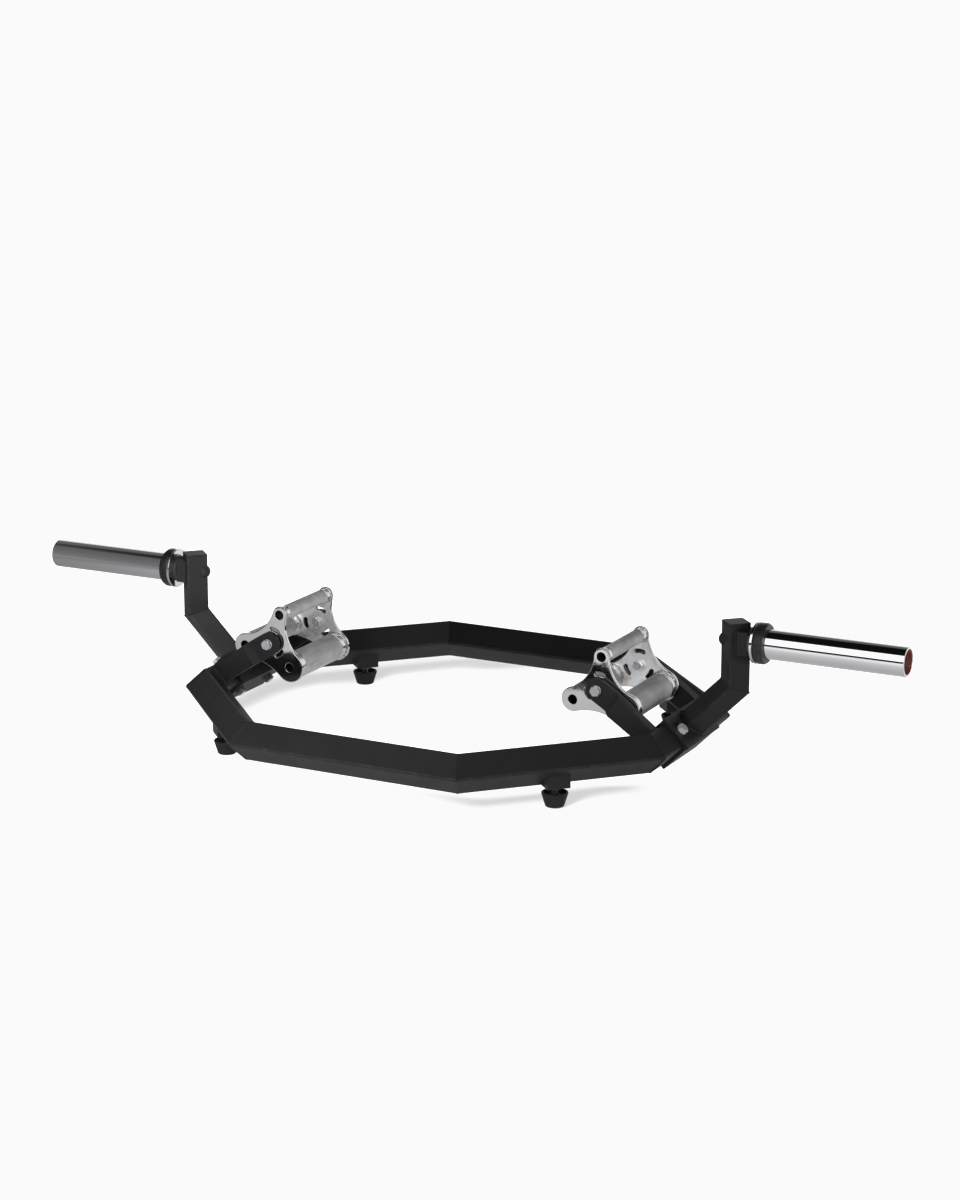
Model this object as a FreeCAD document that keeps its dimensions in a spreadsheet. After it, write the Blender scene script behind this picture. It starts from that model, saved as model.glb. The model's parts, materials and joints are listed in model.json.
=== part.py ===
import FreeCAD, Part
import math
import os
import Sketcher
from FreeCAD import Vector, Rotation, Placement

# Hex trap bar. Millimetres, +Z up, X along the weight sleeves, Y across the bar.
# The origin is under the middle of the bar, on the surface its rubber feet stand on.

doc = FreeCAD.newDocument("hex_trap_bar")
sheet = doc.addObject("Spreadsheet::Sheet", "dims")

DIMENSIONS = [
    # ring of square tube set on edge: corner points of its centre line, and its height
    ("ring_tube", 50.0), ("ring_wall", 3.0),
    ("ring_front_half", 197.4), ("ring_front_off", 362.8),
    ("ring_end_off", 428.6), ("ring_end_half", 124.1), ("ring_height", 73.3),
    # angle-section saddles above and below each end beam, and their through bolts
    ("saddle_thick", 6.0), ("saddle_upper_leg", 63.0), ("saddle_half", 67.7),
    ("saddle_bolt_off", 47.0), ("bolt_dia", 10.0), ("bolt_hole_dia", 11.0),
    ("hex_across", 16.0), ("hex_head", 6.4), ("hex_nut", 6.0), ("bolt_over", 2.0),
    ("washer_dia", 18.0), ("washer_thick", 2.0), ("inner_washer_dia", 18.0), ("inner_washer_thick", 1.5),
    # risers of square tube on edge: slanted strut, upright post, cap, block
    ("riser_tube", 38.0), ("riser_wall", 3.0), ("riser_off", 525.5),
    ("riser_top", 280.4), ("riser_cap", 3.0),
    ("block_half", 20.0), ("block_end", 553.6),
    # weight sleeves, each with a shoulder that its flange and collar ring butt against
    ("sleeve_height", 248.1), ("axle_dia", 24.0), ("axle_dome", 2.7), ("axle_round", 11.2), ("axle_end", 799.0),
    ("sleeve_start", 561.0), ("sleeve_end", 822.5), ("sleeve_dia", 50.0), ("sleeve_wall", 4.0),
    ("sleeve_shoulder", 0.3), ("flange_dia", 70.0), ("flange_end", 566.0),
    ("collar_dia", 69.0), ("collar_end", 582.8), ("collar_bevel", 2.0), ("thrust_dia", 46.0),
    ("bush_bore", 24.1), ("bush_len", 30.0), ("bush_inner_at", 568.0),
    ("ring_gap", 0.3), ("snap_thick", 2.0), ("snap_groove_dia", 22.5), ("snap_dia", 31.0),
    # handle arms
    ("pivot_off", 317.4), ("pivot_height", 158.6), ("arm_slope", 32.0),
    ("arm_inside", 85.5), ("arm_tab", 10.0), ("arm_box", 20.0), ("arm_half", 20.0),
    ("arm_box_from", 31.0), ("arm_hole_dia", 11.0),
    # handle cassettes: three-lobed plates joined by three grip tubes
    ("plate_inside", 78.0), ("plate_thick", 6.0), ("lobe_circle", 54.8),
    ("thin_lobe", 13.5), ("medium_lobe", 21.0), ("thick_lobe", 26.8),
    ("plate_waist", 68.0), ("plate_waist_wide", 94.0),
    ("lobe_hole_dia", 16.4), ("slot_circle", 25.0), ("slot_width", 7.0), ("slot_half_angle", 15.0),
    ("pivot_bush_dia", 14.0), ("pivot_bush_bore", 10.1), ("spin_gap", 0.3),
    ("thin_grip_dia", 25.0), ("medium_grip_dia", 38.0), ("thick_grip_dia", 48.0), ("grip_wall", 3.5),
    ("right_lobe_angle", 87.0), ("left_lobe_angle", 71.6),
    # feet under the slanted rails
    ("foot_stub", 40.0), ("foot_stub_base", 35.5), ("foot_top_dia", 44.0), ("foot_base_dia", 31.0),
    ("foot_tall", 25.5), ("foot_recess", 5.0), ("stud_dia", 10.0), ("stud_from", 8.0),
    ("foot_nut_across", 17.0), ("foot_nut_thick", 6.0),
]
for row, (alias, number) in enumerate(DIMENSIONS, start=1):
    sheet.set("A%d" % row, repr(number))
    sheet.setAlias("A%d" % row, alias)
doc.recompute()


class Size:
    """A size written as a formula of the sheet's cells, with its present value."""

    def __init__(self, text, value):
        self.text = text
        self.value = value

    def __add__(self, other):
        other = size(other)
        return Size("(%s + %s)" % (self.text, other.text), self.value + other.value)

    def __radd__(self, other):
        return size(other) + self

    def __sub__(self, other):
        other = size(other)
        return Size("(%s - %s)" % (self.text, other.text), self.value - other.value)

    def __rsub__(self, other):
        return size(other) - self

    def __mul__(self, other):
        other = size(other)
        return Size("(%s * %s)" % (self.text, other.text), self.value * other.value)

    def __rmul__(self, other):
        return size(other) * self

    def __truediv__(self, other):
        other = size(other)
        return Size("(%s / %s)" % (self.text, other.text), self.value / other.value)

    def __neg__(self):
        return Size("(0 - %s)" % self.text, -self.value)


def size(v):
    return v if isinstance(v, Size) else Size("(%s)" % repr(float(v)), float(v))


def root(v):
    return Size("sqrt(%s)" % v.text, math.sqrt(v.value))


def sin_of(v):
    return Size("sin(%s)" % v.text, math.sin(math.radians(v.value)))


def cos_of(v):
    return Size("cos(%s)" % v.text, math.cos(math.radians(v.value)))


D = {alias: Size("dims." + alias, float(sheet.get(alias))) for alias, _ in DIMENSIONS}
HALF_ROOT = math.sqrt(0.5)
TAN_EIGHTH = math.tan(math.radians(22.5))
NODES = []
FULL = {}


def keep(obj, label):
    obj.Label = label
    NODES.append(obj)
    return obj


def new_body(name):
    return doc.addObject("PartDesign::Body", name)


def set_at(obj, x=0.0, y=0.0, z=0.0, turn=None):
    """Puts an object at a point given by formulas, turned as asked."""
    x, y, z = size(x), size(y), size(z)
    obj.Placement = Placement(Vector(x.value, y.value, z.value), turn or Rotation())
    for axis, s in (("x", x), ("y", y), ("z", z)):
        if "dims." in s.text:
            obj.setExpression("Placement.Base." + axis, s.text)
    return obj


def new_sketch(body, plane, offset=None):
    sk = body.newObject("Sketcher::SketchObject", body.Name + "_sketch")
    support = [f for f in body.Origin.OriginFeatures if f.Role == plane][0]
    sk.AttachmentSupport = [(support, "")]
    sk.MapMode = "FlatFace"
    if offset is not None:
        offset = size(offset)
        sk.AttachmentOffset = Placement(Vector(0, 0, offset.value), Rotation())
        sk.setExpression("AttachmentOffset.Base.z", offset.text)
    return sk


def pin_point(sk, geo, pos, x, y):
    """Ties a sketch point to its two coordinates."""
    for kind, s, axis in (("DistanceX", size(x), -2), ("DistanceY", size(y), -1)):
        if abs(s.value) < 1e-12:
            sk.addConstraint(Sketcher.Constraint("PointOnObject", geo, pos, axis))
        else:
            c = sk.addConstraint(Sketcher.Constraint(kind, -1, 1, geo, pos, s.value))
            sk.setExpression("Constraints[%d]" % c, s.text)
            FULL[(sk.Name, c)] = s.value


def polygon(sk, points):
    points = [(size(x), size(y)) for x, y in points]
    first = sk.GeometryCount
    n = len(points)
    at = [Vector(x.value, y.value, 0) for x, y in points]
    for i in range(n):
        sk.addGeometry(Part.LineSegment(at[i], at[(i + 1) % n]), False)
    for i in range(n):
        sk.addConstraint(Sketcher.Constraint("Coincident", first + i, 2, first + (i + 1) % n, 1))
    for i in range(n):
        pin_point(sk, first + i, 1, points[i][0], points[i][1])


def circle(sk, x, y, radius):
    x, y, radius = size(x), size(y), size(radius)
    g = sk.addGeometry(Part.Circle(Vector(x.value, y.value, 0), Vector(0, 0, 1), radius.value), False)
    if abs(x.value) < 1e-12 and abs(y.value) < 1e-12:
        sk.addConstraint(Sketcher.Constraint("Coincident", g, 3, -1, 1))
    else:
        pin_point(sk, g, 3, x, y)
    c = sk.addConstraint(Sketcher.Constraint("Radius", g, radius.value))
    sk.setExpression("Constraints[%d]" % c, radius.text)
    return g


def pad(body, sk, length, symmetric=False, reverse=False):
    f = body.newObject("PartDesign::Pad", body.Name + "_pad")
    f.Profile = sk
    f.SideType = "Symmetric" if symmetric else "One side"
    f.Reversed = reverse
    f.setExpression("Length", size(length).text)
    doc.recompute()
    return f


def pocket_through(body, sk):
    before = body.Shape.Volume
    f = body.newObject("PartDesign::Pocket", body.Name + "_pocket")
    f.Profile = sk
    f.Type = "ThroughAll"
    f.SideType = "Symmetric"
    doc.recompute()
    if not body.Shape.Volume < before - 1e-6:
        raise RuntimeError("pocket cut nothing in " + body.Name)
    return f


def revolve(body, sk, axis, angle=360.0):
    f = body.newObject("PartDesign::Revolution", body.Name + "_revolution")
    f.Profile = sk
    f.ReferenceAxis = (sk, [axis])
    f.Angle = angle
    doc.recompute()
    return f


def group(label, bodies):
    c = doc.addObject("Part::Compound", label)
    c.Links = bodies
    return keep(c, label)


def cut_with(label, base, tools):
    if len(tools) > 1:
        tool = doc.addObject("Part::MultiFuse", label + "_drills")
        tool.Shapes = tools
    else:
        tool = tools[0]
    c = doc.addObject("Part::Cut", label)
    c.Base = base
    c.Tool = tool
    doc.recompute()
    if not c.Shape.Volume < base.Shape.Volume - 1e-6:
        raise RuntimeError("cut removed nothing from " + label)
    return keep(c, label)


def arc_between(centre, radius, start, end):
    """Arc turned anticlockwise from the start angle to the end angle."""
    while end < start:
        end += 2 * math.pi
    return Part.ArcOfCircle(Part.Circle(Vector(centre[0], centre[1], 0), Vector(0, 0, 1), radius), start, end)


HALF_TURN = Rotation(Vector(0, 0, 1), 180)


def side_turn(side, turn=None):
    """The left end is the right end turned half round about the upright axis."""
    turn = turn or Rotation()
    return turn if side > 0 else HALF_TURN.multiply(turn)


# ---------------------------------------------------------------- ring
diag = D["ring_tube"] * HALF_ROOT
diag_in = (D["ring_tube"] - 2 * D["ring_wall"]) * HALF_ROOT
run_x = D["ring_end_off"] - D["ring_front_half"]
run_y = D["ring_front_off"] - D["ring_end_half"]
slant = root(run_x * run_x + run_y * run_y)
mitre_front = (slant - run_x) / run_y
mitre_end = (slant - run_y) / run_x


def rail(name, half, mitre_minus, mitre_plus, x, y, degrees):
    """Square tube on edge along its own X, outside of the ring towards its own +Y, ends mitred upright."""
    body = new_body(name)
    sk = new_sketch(body, "YZ_Plane")
    polygon(sk, [(diag, 0), (0, diag), (-diag, 0), (0, -diag)])
    polygon(sk, [(diag_in, 0), (0, diag_in), (-diag_in, 0), (0, -diag_in)])
    pad(body, sk, 2 * half + 4 * diag, symmetric=True)
    ends = new_sketch(body, "XY_Plane")
    wide = D["ring_tube"]
    far = half + 3 * diag
    polygon(ends, [(half - wide * mitre_plus, -wide), (far, -wide), (far, wide), (half + wide * mitre_plus, wide)])
    polygon(ends, [(-half + wide * mitre_minus, -wide), (-half - wide * mitre_minus, wide), (-far, wide), (-far, -wide)])
    pocket_through(body, ends)
    set_at(body, x, y, D["ring_height"], Rotation(Vector(0, 0, 1), degrees))
    return body


keep(rail("front_rail", D["ring_front_half"], mitre_front, mitre_front, 0, -D["ring_front_off"], 180), "front_rail")
keep(rail("rear_rail", D["ring_front_half"], mitre_front, mitre_front, 0, D["ring_front_off"], 0), "rear_rail")

lean = math.degrees(math.atan2(run_y.value, run_x.value))
mid_x = (D["ring_front_half"] + D["ring_end_off"]) / 2
mid_y = (D["ring_front_off"] + D["ring_end_half"]) / 2
half_slant = slant / 2
SLANTED = {
    "front_right": (mid_x, -mid_y, 180 + lean, mitre_end, mitre_front),
    "front_left": (-mid_x, -mid_y, 180 - lean, mitre_front, mitre_end),
    "rear_right": (mid_x, mid_y, -lean, mitre_front, mitre_end),
    "rear_left": (-mid_x, mid_y, lean, mitre_end, mitre_front),
}
for name, (x, y, degrees, minus, plus) in SLANTED.items():
    keep(rail(name + "_rail", half_slant, minus, plus, x, y, degrees), name + "_rail")

# ---------------------------------------------------------------- saddles, their bolts, end beams
q = HALF_ROOT
half_tube = D["ring_tube"] / 2
saddle_face = half_tube + D["saddle_thick"]
SIDES = (("right", 1), ("left", -1))
saddle_bolts, saddle_washers, saddle_nuts = [], [], []


def hex_points(across):
    r = across / math.sqrt(3)
    return [(r * math.cos(math.radians(60 * i)), r * math.sin(math.radians(60 * i))) for i in range(6)]


def hex_bolt(name, across, head, dia, length):
    """Hex head above its own XY plane, shank below it."""
    body = new_body(name)
    sk = new_sketch(body, "XY_Plane")
    polygon(sk, hex_points(across))
    pad(body, sk, head)
    sk = new_sketch(body, "XY_Plane")
    circle(sk, 0, 0, dia / 2)
    pad(body, sk, length, reverse=True)
    return body


def hex_nut(name, across, thick, bore):
    body = new_body(name)
    sk = new_sketch(body, "XY_Plane")
    polygon(sk, hex_points(across))
    circle(sk, 0, 0, bore / 2)
    pad(body, sk, thick)
    return body


def ring_disc(name, outer, bore, thick):
    body = new_body(name)
    sk = new_sketch(body, "XY_Plane")
    circle(sk, 0, 0, outer / 2)
    circle(sk, 0, 0, bore / 2)
    pad(body, sk, thick)
    return body


def angle_saddle(name, inner_leg, up):
    """Angle section lying on two faces of the tube, its corner on the tube's ridge."""
    thick = D["saddle_thick"]
    body = new_body(name)
    sk = new_sketch(body, "XZ_Plane")
    p1 = (inner_leg * q, up * (diag - inner_leg * q))
    p2 = (inner_leg * q + thick * q, up * (diag - inner_leg * q + thick * q))
    polygon(sk, [(0, up * diag), p1, p2, (0, up * (diag + thick * (2 * q))),
                 (-p2[0], p2[1]), (-p1[0], p1[1])])
    pad(body, sk, 2 * D["saddle_half"], symmetric=True)
    return body


for name, s in SIDES:
    end_x = s * D["ring_end_off"]
    out = Rotation(Vector(0, 1, 0), 45)
    drills = []
    for y_sign, tag in ((-1, "front"), (1, "rear")):
        y = (y_sign * s) * D["saddle_bolt_off"]
        drill = doc.addObject("Part::Cylinder", "%s_%s_drill" % (name, tag))
        drill.setExpression("Radius", (D["bolt_hole_dia"] / 2).text)
        drill.setExpression("Height", (4 * D["ring_tube"]).text)
        back = 2 * D["ring_tube"] * q
        set_at(drill, end_x - s * back, y, D["ring_height"] - back, side_turn(s, out))
        drills.append(drill)

        def along(obj, distance):
            return set_at(obj, end_x + s * (distance * q), y, D["ring_height"] + distance * q, side_turn(s, out))

        head_at = saddle_face + D["washer_thick"]
        nut_at = -saddle_face - D["washer_thick"] - D["hex_nut"]
        tag = "%s_%s" % (name, tag)
        saddle_bolts.append(along(hex_bolt("saddle_bolt_" + tag, D["hex_across"], D["hex_head"], D["bolt_dia"],
                                           head_at - nut_at + D["bolt_over"]), head_at))
        saddle_washers.append(along(ring_disc("saddle_washer_a_" + tag, D["washer_dia"], D["bolt_hole_dia"],
                                              D["washer_thick"]), saddle_face))
        saddle_washers.append(along(ring_disc("saddle_washer_b_" + tag, D["washer_dia"], D["bolt_hole_dia"],
                                              D["washer_thick"]), -saddle_face - D["washer_thick"]))
        saddle_nuts.append(along(hex_nut("saddle_nut_" + tag, D["hex_across"], D["hex_nut"], D["bolt_dia"] + 0.1), nut_at))

    beam = rail(name + "_end_beam_tube", D["ring_end_half"], mitre_end, mitre_end, end_x, 0, -90 * s)
    cut_with(name + "_end_beam", beam, drills)
    upper = angle_saddle(name + "_upper_angle", D["saddle_upper_leg"] - D["saddle_thick"], 1)
    set_at(upper, end_x, 0, D["ring_height"])
    cut_with(name + "_upper_saddle", upper, drills)
    lower = angle_saddle(name + "_lower_angle", D["ring_tube"], -1)
    set_at(lower, end_x, 0, D["ring_height"])
    cut_with(name + "_lower_saddle", lower, drills)

group("saddle_bolts", saddle_bolts)
group("saddle_washers", saddle_washers)
group("saddle_nuts", saddle_nuts)

# ---------------------------------------------------------------- risers, blocks, axles
riser_diag = D["riser_tube"] * HALF_ROOT
riser_in = (D["riser_tube"] - 2 * D["riser_wall"]) * HALF_ROOT
lean_out = D["riser_off"] - D["ring_end_off"]
bend_z = D["ring_height"] + lean_out
strut_len = lean_out * math.sqrt(2)
thrust_washers = []


def diamond(sk, reach):
    polygon(sk, [(reach, 0), (0, reach), (-reach, 0), (0, -reach)])


for name, s in SIDES:
    # strut: square to the upper outer face of the end beam, mitred at the bend
    strut = new_body(name + "_riser_strut")
    sk = new_sketch(strut, "XY_Plane", saddle_face)
    diamond(sk, riser_diag)
    diamond(sk, riser_in)
    pad(strut, sk, strut_len + D["riser_tube"] - saddle_face)
    sk = new_sketch(strut, "XZ_Plane")
    w = D["riser_tube"]
    polygon(sk, [(-w, strut_len - w * TAN_EIGHTH), (w, strut_len + w * TAN_EIGHTH),
                 (w, strut_len + 3 * w), (-w, strut_len + 3 * w)])
    pocket_through(strut, sk)
    set_at(strut, s * D["ring_end_off"], 0, D["ring_height"], side_turn(s, Rotation(Vector(0, 1, 0), 45)))
    keep(strut, name + "_riser_strut")

    # upright post with a cross hole for the axle
    post = new_body(name + "_riser_post")
    sk = new_sketch(post, "XY_Plane", bend_z - w)
    diamond(sk, riser_diag)
    diamond(sk, riser_in)
    pad(post, sk, D["riser_top"] - D["riser_cap"] - bend_z + w)
    sk = new_sketch(post, "XZ_Plane")
    polygon(sk, [(-w, bend_z + w * TAN_EIGHTH), (-w, bend_z - 3 * w), (w, bend_z - 3 * w), (w, bend_z - w * TAN_EIGHTH)])
    pocket_through(post, sk)
    sk = new_sketch(post, "YZ_Plane")
    circle(sk, 0, D["sleeve_height"], D["axle_dia"] / 2)
    pocket_through(post, sk)
    set_at(post, s * D["riser_off"], 0, 0, side_turn(s))
    keep(post, name + "_riser_post")

    cap = new_body(name + "_riser_cap")
    sk = new_sketch(cap, "XY_Plane", D["riser_top"] - D["riser_cap"])
    diamond(sk, riser_diag)
    pad(cap, sk, D["riser_cap"])
    set_at(cap, s * D["riser_off"], 0, 0, side_turn(s))
    keep(cap, name + "_riser_cap")

    # square block notched over the outer ridge of the post
    block = new_body(name + "_mount_block")
    sk = new_sketch(block, "XY_Plane", D["sleeve_height"] - D["block_half"])
    bh = D["block_half"]
    reach = D["block_end"] - D["riser_off"]
    polygon(sk, [(reach, -bh), (reach, bh), (riser_diag - bh, bh), (riser_diag, 0), (riser_diag - bh, -bh)])
    pad(block, sk, 2 * bh)
    sk = new_sketch(block, "YZ_Plane")
    circle(sk, 0, D["sleeve_height"], D["axle_dia"] / 2)
    pocket_through(block, sk)
    set_at(block, s * D["riser_off"], 0, 0, side_turn(s))
    keep(block, name + "_mount_block")

    # axle: one turned bar with a domed inner end and a groove for its retaining ring
    axle = new_body(name + "_axle")
    sk = new_sketch(axle, "XZ_Plane")
    ar = D["axle_dia"] / 2
    a0 = D["riser_off"] - riser_diag - D["axle_dome"]
    g0 = D["sleeve_end"] - 32 + D["ring_gap"]
    g1 = g0 + D["snap_thick"]
    gr = D["snap_groove_dia"] / 2
    polygon(sk, [(a0, 0), (a0, ar), (g0, ar), (g0, gr), (g1, gr), (g1, ar),
                 (D["axle_end"] - 1, ar), (D["axle_end"], ar - 1), (D["axle_end"], 0)])
    turned = revolve(axle, sk, "H_Axis")
    best, edge_name = None, None
    for i, e in enumerate(turned.Shape.Edges, start=1):
        if e.Curve.TypeId == "Part::GeomCircle" and abs(e.Curve.Radius - ar.value) < 1e-6:
            if best is None or e.Curve.Center.x < best:
                best, edge_name = e.Curve.Center.x, "Edge%d" % i
    dome = axle.newObject("PartDesign::Fillet", name + "_axle_dome")
    dome.Base = (turned, [edge_name])
    dome.setExpression("Radius", D["axle_round"].text)
    doc.recompute()
    set_at(axle, 0, 0, D["sleeve_height"], side_turn(s))
    keep(axle, name + "_axle")

    # washer on the axle that keeps the turning sleeve off the block
    thrust = new_body(name + "_thrust_washer")
    sk = new_sketch(thrust, "XZ_Plane")
    t0, t1, tr = D["block_end"], D["sleeve_start"] - D["ring_gap"], D["thrust_dia"] / 2
    polygon(sk, [(t0, ar), (t1, ar), (t1, tr), (t0, tr)])
    revolve(thrust, sk, "H_Axis")
    thrust_washers.append(set_at(thrust, 0, 0, D["sleeve_height"], side_turn(s)))

    snap = new_body(name + "_retaining_ring")
    sk = new_sketch(snap, "XZ_Plane")
    polygon(sk, [(g0, gr), (g1, gr), (g1, D["snap_dia"] / 2), (g0, D["snap_dia"] / 2)])
    revolve(snap, sk, "H_Axis", 325.0)
    set_at(snap, 0, 0, D["sleeve_height"], side_turn(s))
    keep(snap, name + "_retaining_ring")

    # ------------------------------------------------------------ weight sleeve
    sr = D["sleeve_dia"] / 2
    si = sr - D["sleeve_wall"]
    x0, x1 = D["sleeve_start"], D["sleeve_end"]
    seat, c1 = sr - D["sleeve_shoulder"], D["collar_end"]
    tube = new_body(name + "_sleeve_tube")
    sk = new_sketch(tube, "XZ_Plane")
    polygon(sk, [(x0, si), (x0, seat), (c1, seat), (c1, sr), (x1 - 1, sr), (x1, sr - 1), (x1, si + 0.6), (x1 - 0.6, si)])
    revolve(tube, sk, "H_Axis")
    set_at(tube, 0, 0, D["sleeve_height"], side_turn(s))
    keep(tube, name + "_sleeve_tube")

    flange = new_body(name + "_sleeve_flange")
    sk = new_sketch(flange, "XZ_Plane")
    fr, f1 = D["flange_dia"] / 2, D["flange_end"]
    polygon(sk, [(x0, seat), (x0, fr - 1), (x0 + 1, fr), (f1 - 1, fr), (f1, fr - 1), (f1, seat)])
    revolve(flange, sk, "H_Axis")
    set_at(flange, 0, 0, D["sleeve_height"], side_turn(s))
    keep(flange, name + "_sleeve_flange")

    collar = new_body(name + "_collar_ring")
    sk = new_sketch(collar, "XZ_Plane")
    cr, cb = D["collar_dia"] / 2, D["collar_bevel"]
    polygon(sk, [(f1, seat), (f1, cr - 1.5), (f1 + 1.5, cr), (c1 - cb, cr), (c1, cr - cb), (c1, seat)])
    revolve(collar, sk, "H_Axis")
    set_at(collar, 0, 0, D["sleeve_height"], side_turn(s))
    keep(collar, name + "_collar_ring")

    bushes = []
    for tag, b0 in (("inner", D["bush_inner_at"]), ("outer", x1 - 32 - D["bush_len"])):
        bush = new_body("%s_%s_bush" % (name, tag))
        sk = new_sketch(bush, "XZ_Plane")
        b1, br = b0 + D["bush_len"], D["bush_bore"] / 2
        polygon(sk, [(b0, br), (b0, si), (b1, si), (b1, br)])
        revolve(bush, sk, "H_Axis")
        bushes.append(set_at(bush, 0, 0, D["sleeve_height"], side_turn(s)))
    group(name + "_sleeve_bushes", bushes)
group("thrust_washers", thrust_washers)

# ---------------------------------------------------------------- handle arms
slope = D["arm_slope"]


def arm_frame(x, z):
    """Coordinates along and across the arm of a point given from the pivot."""
    return x * cos_of(slope) - z * sin_of(slope), x * sin_of(slope) + z * cos_of(slope)


top_ridge = arm_frame(D["ring_end_off"] - D["pivot_off"], D["ring_height"] + diag - D["pivot_height"])
in_ridge = arm_frame(D["ring_end_off"] - diag - D["pivot_off"], D["ring_height"] - D["pivot_height"])


def on_face(part):
    return (in_ridge[0] + part * (top_ridge[0] - in_ridge[0]), in_ridge[1] + part * (top_ridge[1] - in_ridge[1]))


def handle_arm(name, y_sign):
    """Flared box welded to the beam's upper inner face, thinned to a round-ended tab at the pivot."""
    ah, b0, tab, box = D["arm_half"], D["arm_box_from"], D["arm_tab"], D["arm_box"]
    inside = D["arm_inside"]
    body = new_body(name)
    sk = new_sketch(body, "XZ_Plane", -y_sign * inside)
    r = ah.value
    up, low = on_face(0.9), on_face(0.2)
    corners = [(size(0), ah), (b0, ah), up, low, (b0, -ah), (size(0), -ah)]
    for (xa, ya), (xb, yb) in zip(corners[:-1], corners[1:]):
        sk.addGeometry(Part.LineSegment(Vector(size(xa).value, size(ya).value, 0), Vector(size(xb).value, size(yb).value, 0)), False)
    arc = sk.addGeometry(arc_between((0, 0), r, math.pi / 2, 1.5 * math.pi), False)
    for i in range(4):
        sk.addConstraint(Sketcher.Constraint("Coincident", i, 2, i + 1, 1))
    for i in range(5):
        pin_point(sk, i, 1, corners[i][0], corners[i][1])
    pin_point(sk, 4, 2, corners[5][0], corners[5][1])
    sk.addConstraint(Sketcher.Constraint("Coincident", arc, 1, 0, 1))
    sk.addConstraint(Sketcher.Constraint("Coincident", arc, 2, 4, 2))
    sk.addConstraint(Sketcher.Constraint("PointOnObject", arc, 3, -2))
    circle(sk, 0, 0, D["arm_hole_dia"] / 2)
    pad(body, sk, box, reverse=(y_sign > 0))
    sk = new_sketch(body, "XY_Plane")
    y0, y1, y2 = inside + tab, inside + box, inside + 2 * box
    step = box - tab
    polygon(sk, [(-3 * ah, y_sign * y0), (b0, y_sign * y0), (b0 + step, y_sign * y1),
                 (b0 + step, y_sign * y2), (-3 * ah, y_sign * y2)])
    pocket_through(body, sk)
    return body


for end, s in SIDES:
    for where, y_sign in (("front", -1), ("rear", 1)):
        label = "%s_%s_arm" % (where, end)
        arm = handle_arm(label, y_sign * s)
        set_at(arm, s * D["pivot_off"], 0, D["pivot_height"], side_turn(s, Rotation(Vector(0, 1, 0), slope.value)))
        keep(arm, label)

# pivot bolts: head outside the tab, nut inside the plate
pivot_bolts, pivot_washers, pivot_nuts = [], [], []
tab_face = D["arm_inside"] + D["arm_tab"]
plate_out = D["plate_inside"] + D["plate_thick"]
for end, s in SIDES:
    for where, y_sign in (("front", -1), ("rear", 1)):
        tag = "%s_%s" % (where, end)
        outward = Rotation(Vector(1, 0, 0), 90 if y_sign < 0 else -90)

        def at_pivot(obj, distance):
            return set_at(obj, s * D["pivot_off"], y_sign * distance, D["pivot_height"], outward)

        head_at = tab_face + D["washer_thick"]
        inner_washer = D["plate_inside"] - D["spin_gap"] - D["inner_washer_thick"]
        nut_at = inner_washer - D["hex_nut"]
        pivot_bolts.append(at_pivot(hex_bolt("pivot_bolt_" + tag, D["hex_across"], D["hex_head"], D["bolt_dia"],
                                             head_at - nut_at + D["bolt_over"]), head_at))
        pivot_nuts.append(at_pivot(hex_nut("pivot_nut_" + tag, D["hex_across"], D["hex_nut"], D["bolt_dia"] + 0.1), nut_at))
        pivot_washers.append(at_pivot(ring_disc("pivot_washer_a_" + tag, D["washer_dia"], D["bolt_hole_dia"],
                                                D["washer_thick"]), tab_face))
        pivot_washers.append(at_pivot(ring_disc("pivot_washer_b_" + tag, D["washer_dia"], D["bolt_hole_dia"],
                                                D["arm_inside"] - plate_out - D["spin_gap"]), plate_out + D["spin_gap"]))
        pivot_washers.append(at_pivot(ring_disc("pivot_washer_c_" + tag, D["inner_washer_dia"], D["bolt_hole_dia"],
                                                D["inner_washer_thick"]), inner_washer))
group("pivot_bolts", pivot_bolts)
group("pivot_washers", pivot_washers)
group("pivot_nuts", pivot_nuts)

# ---------------------------------------------------------------- handle cassettes


def tangent_centre(c1, r1, c2, r2):
    """Centre of the circle that passes the two circles at distances r1 and r2, on the side away from the pivot."""
    dx, dy = c2[0] - c1[0], c2[1] - c1[1]
    d = math.hypot(dx, dy)
    a = (d * d + r1 * r1 - r2 * r2) / (2 * d)
    h = math.sqrt(r1 * r1 - a * a)
    px, py = c1[0] + a * dx / d, c1[1] + a * dy / d
    options = [(px - h * dy / d, py + h * dx / d), (px + h * dy / d, py - h * dx / d)]
    return max(options, key=lambda o: math.hypot(o[0], o[1]))


def angle_of(centre, point):
    return math.atan2(point[1] - centre[1], point[0] - centre[0])


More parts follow.
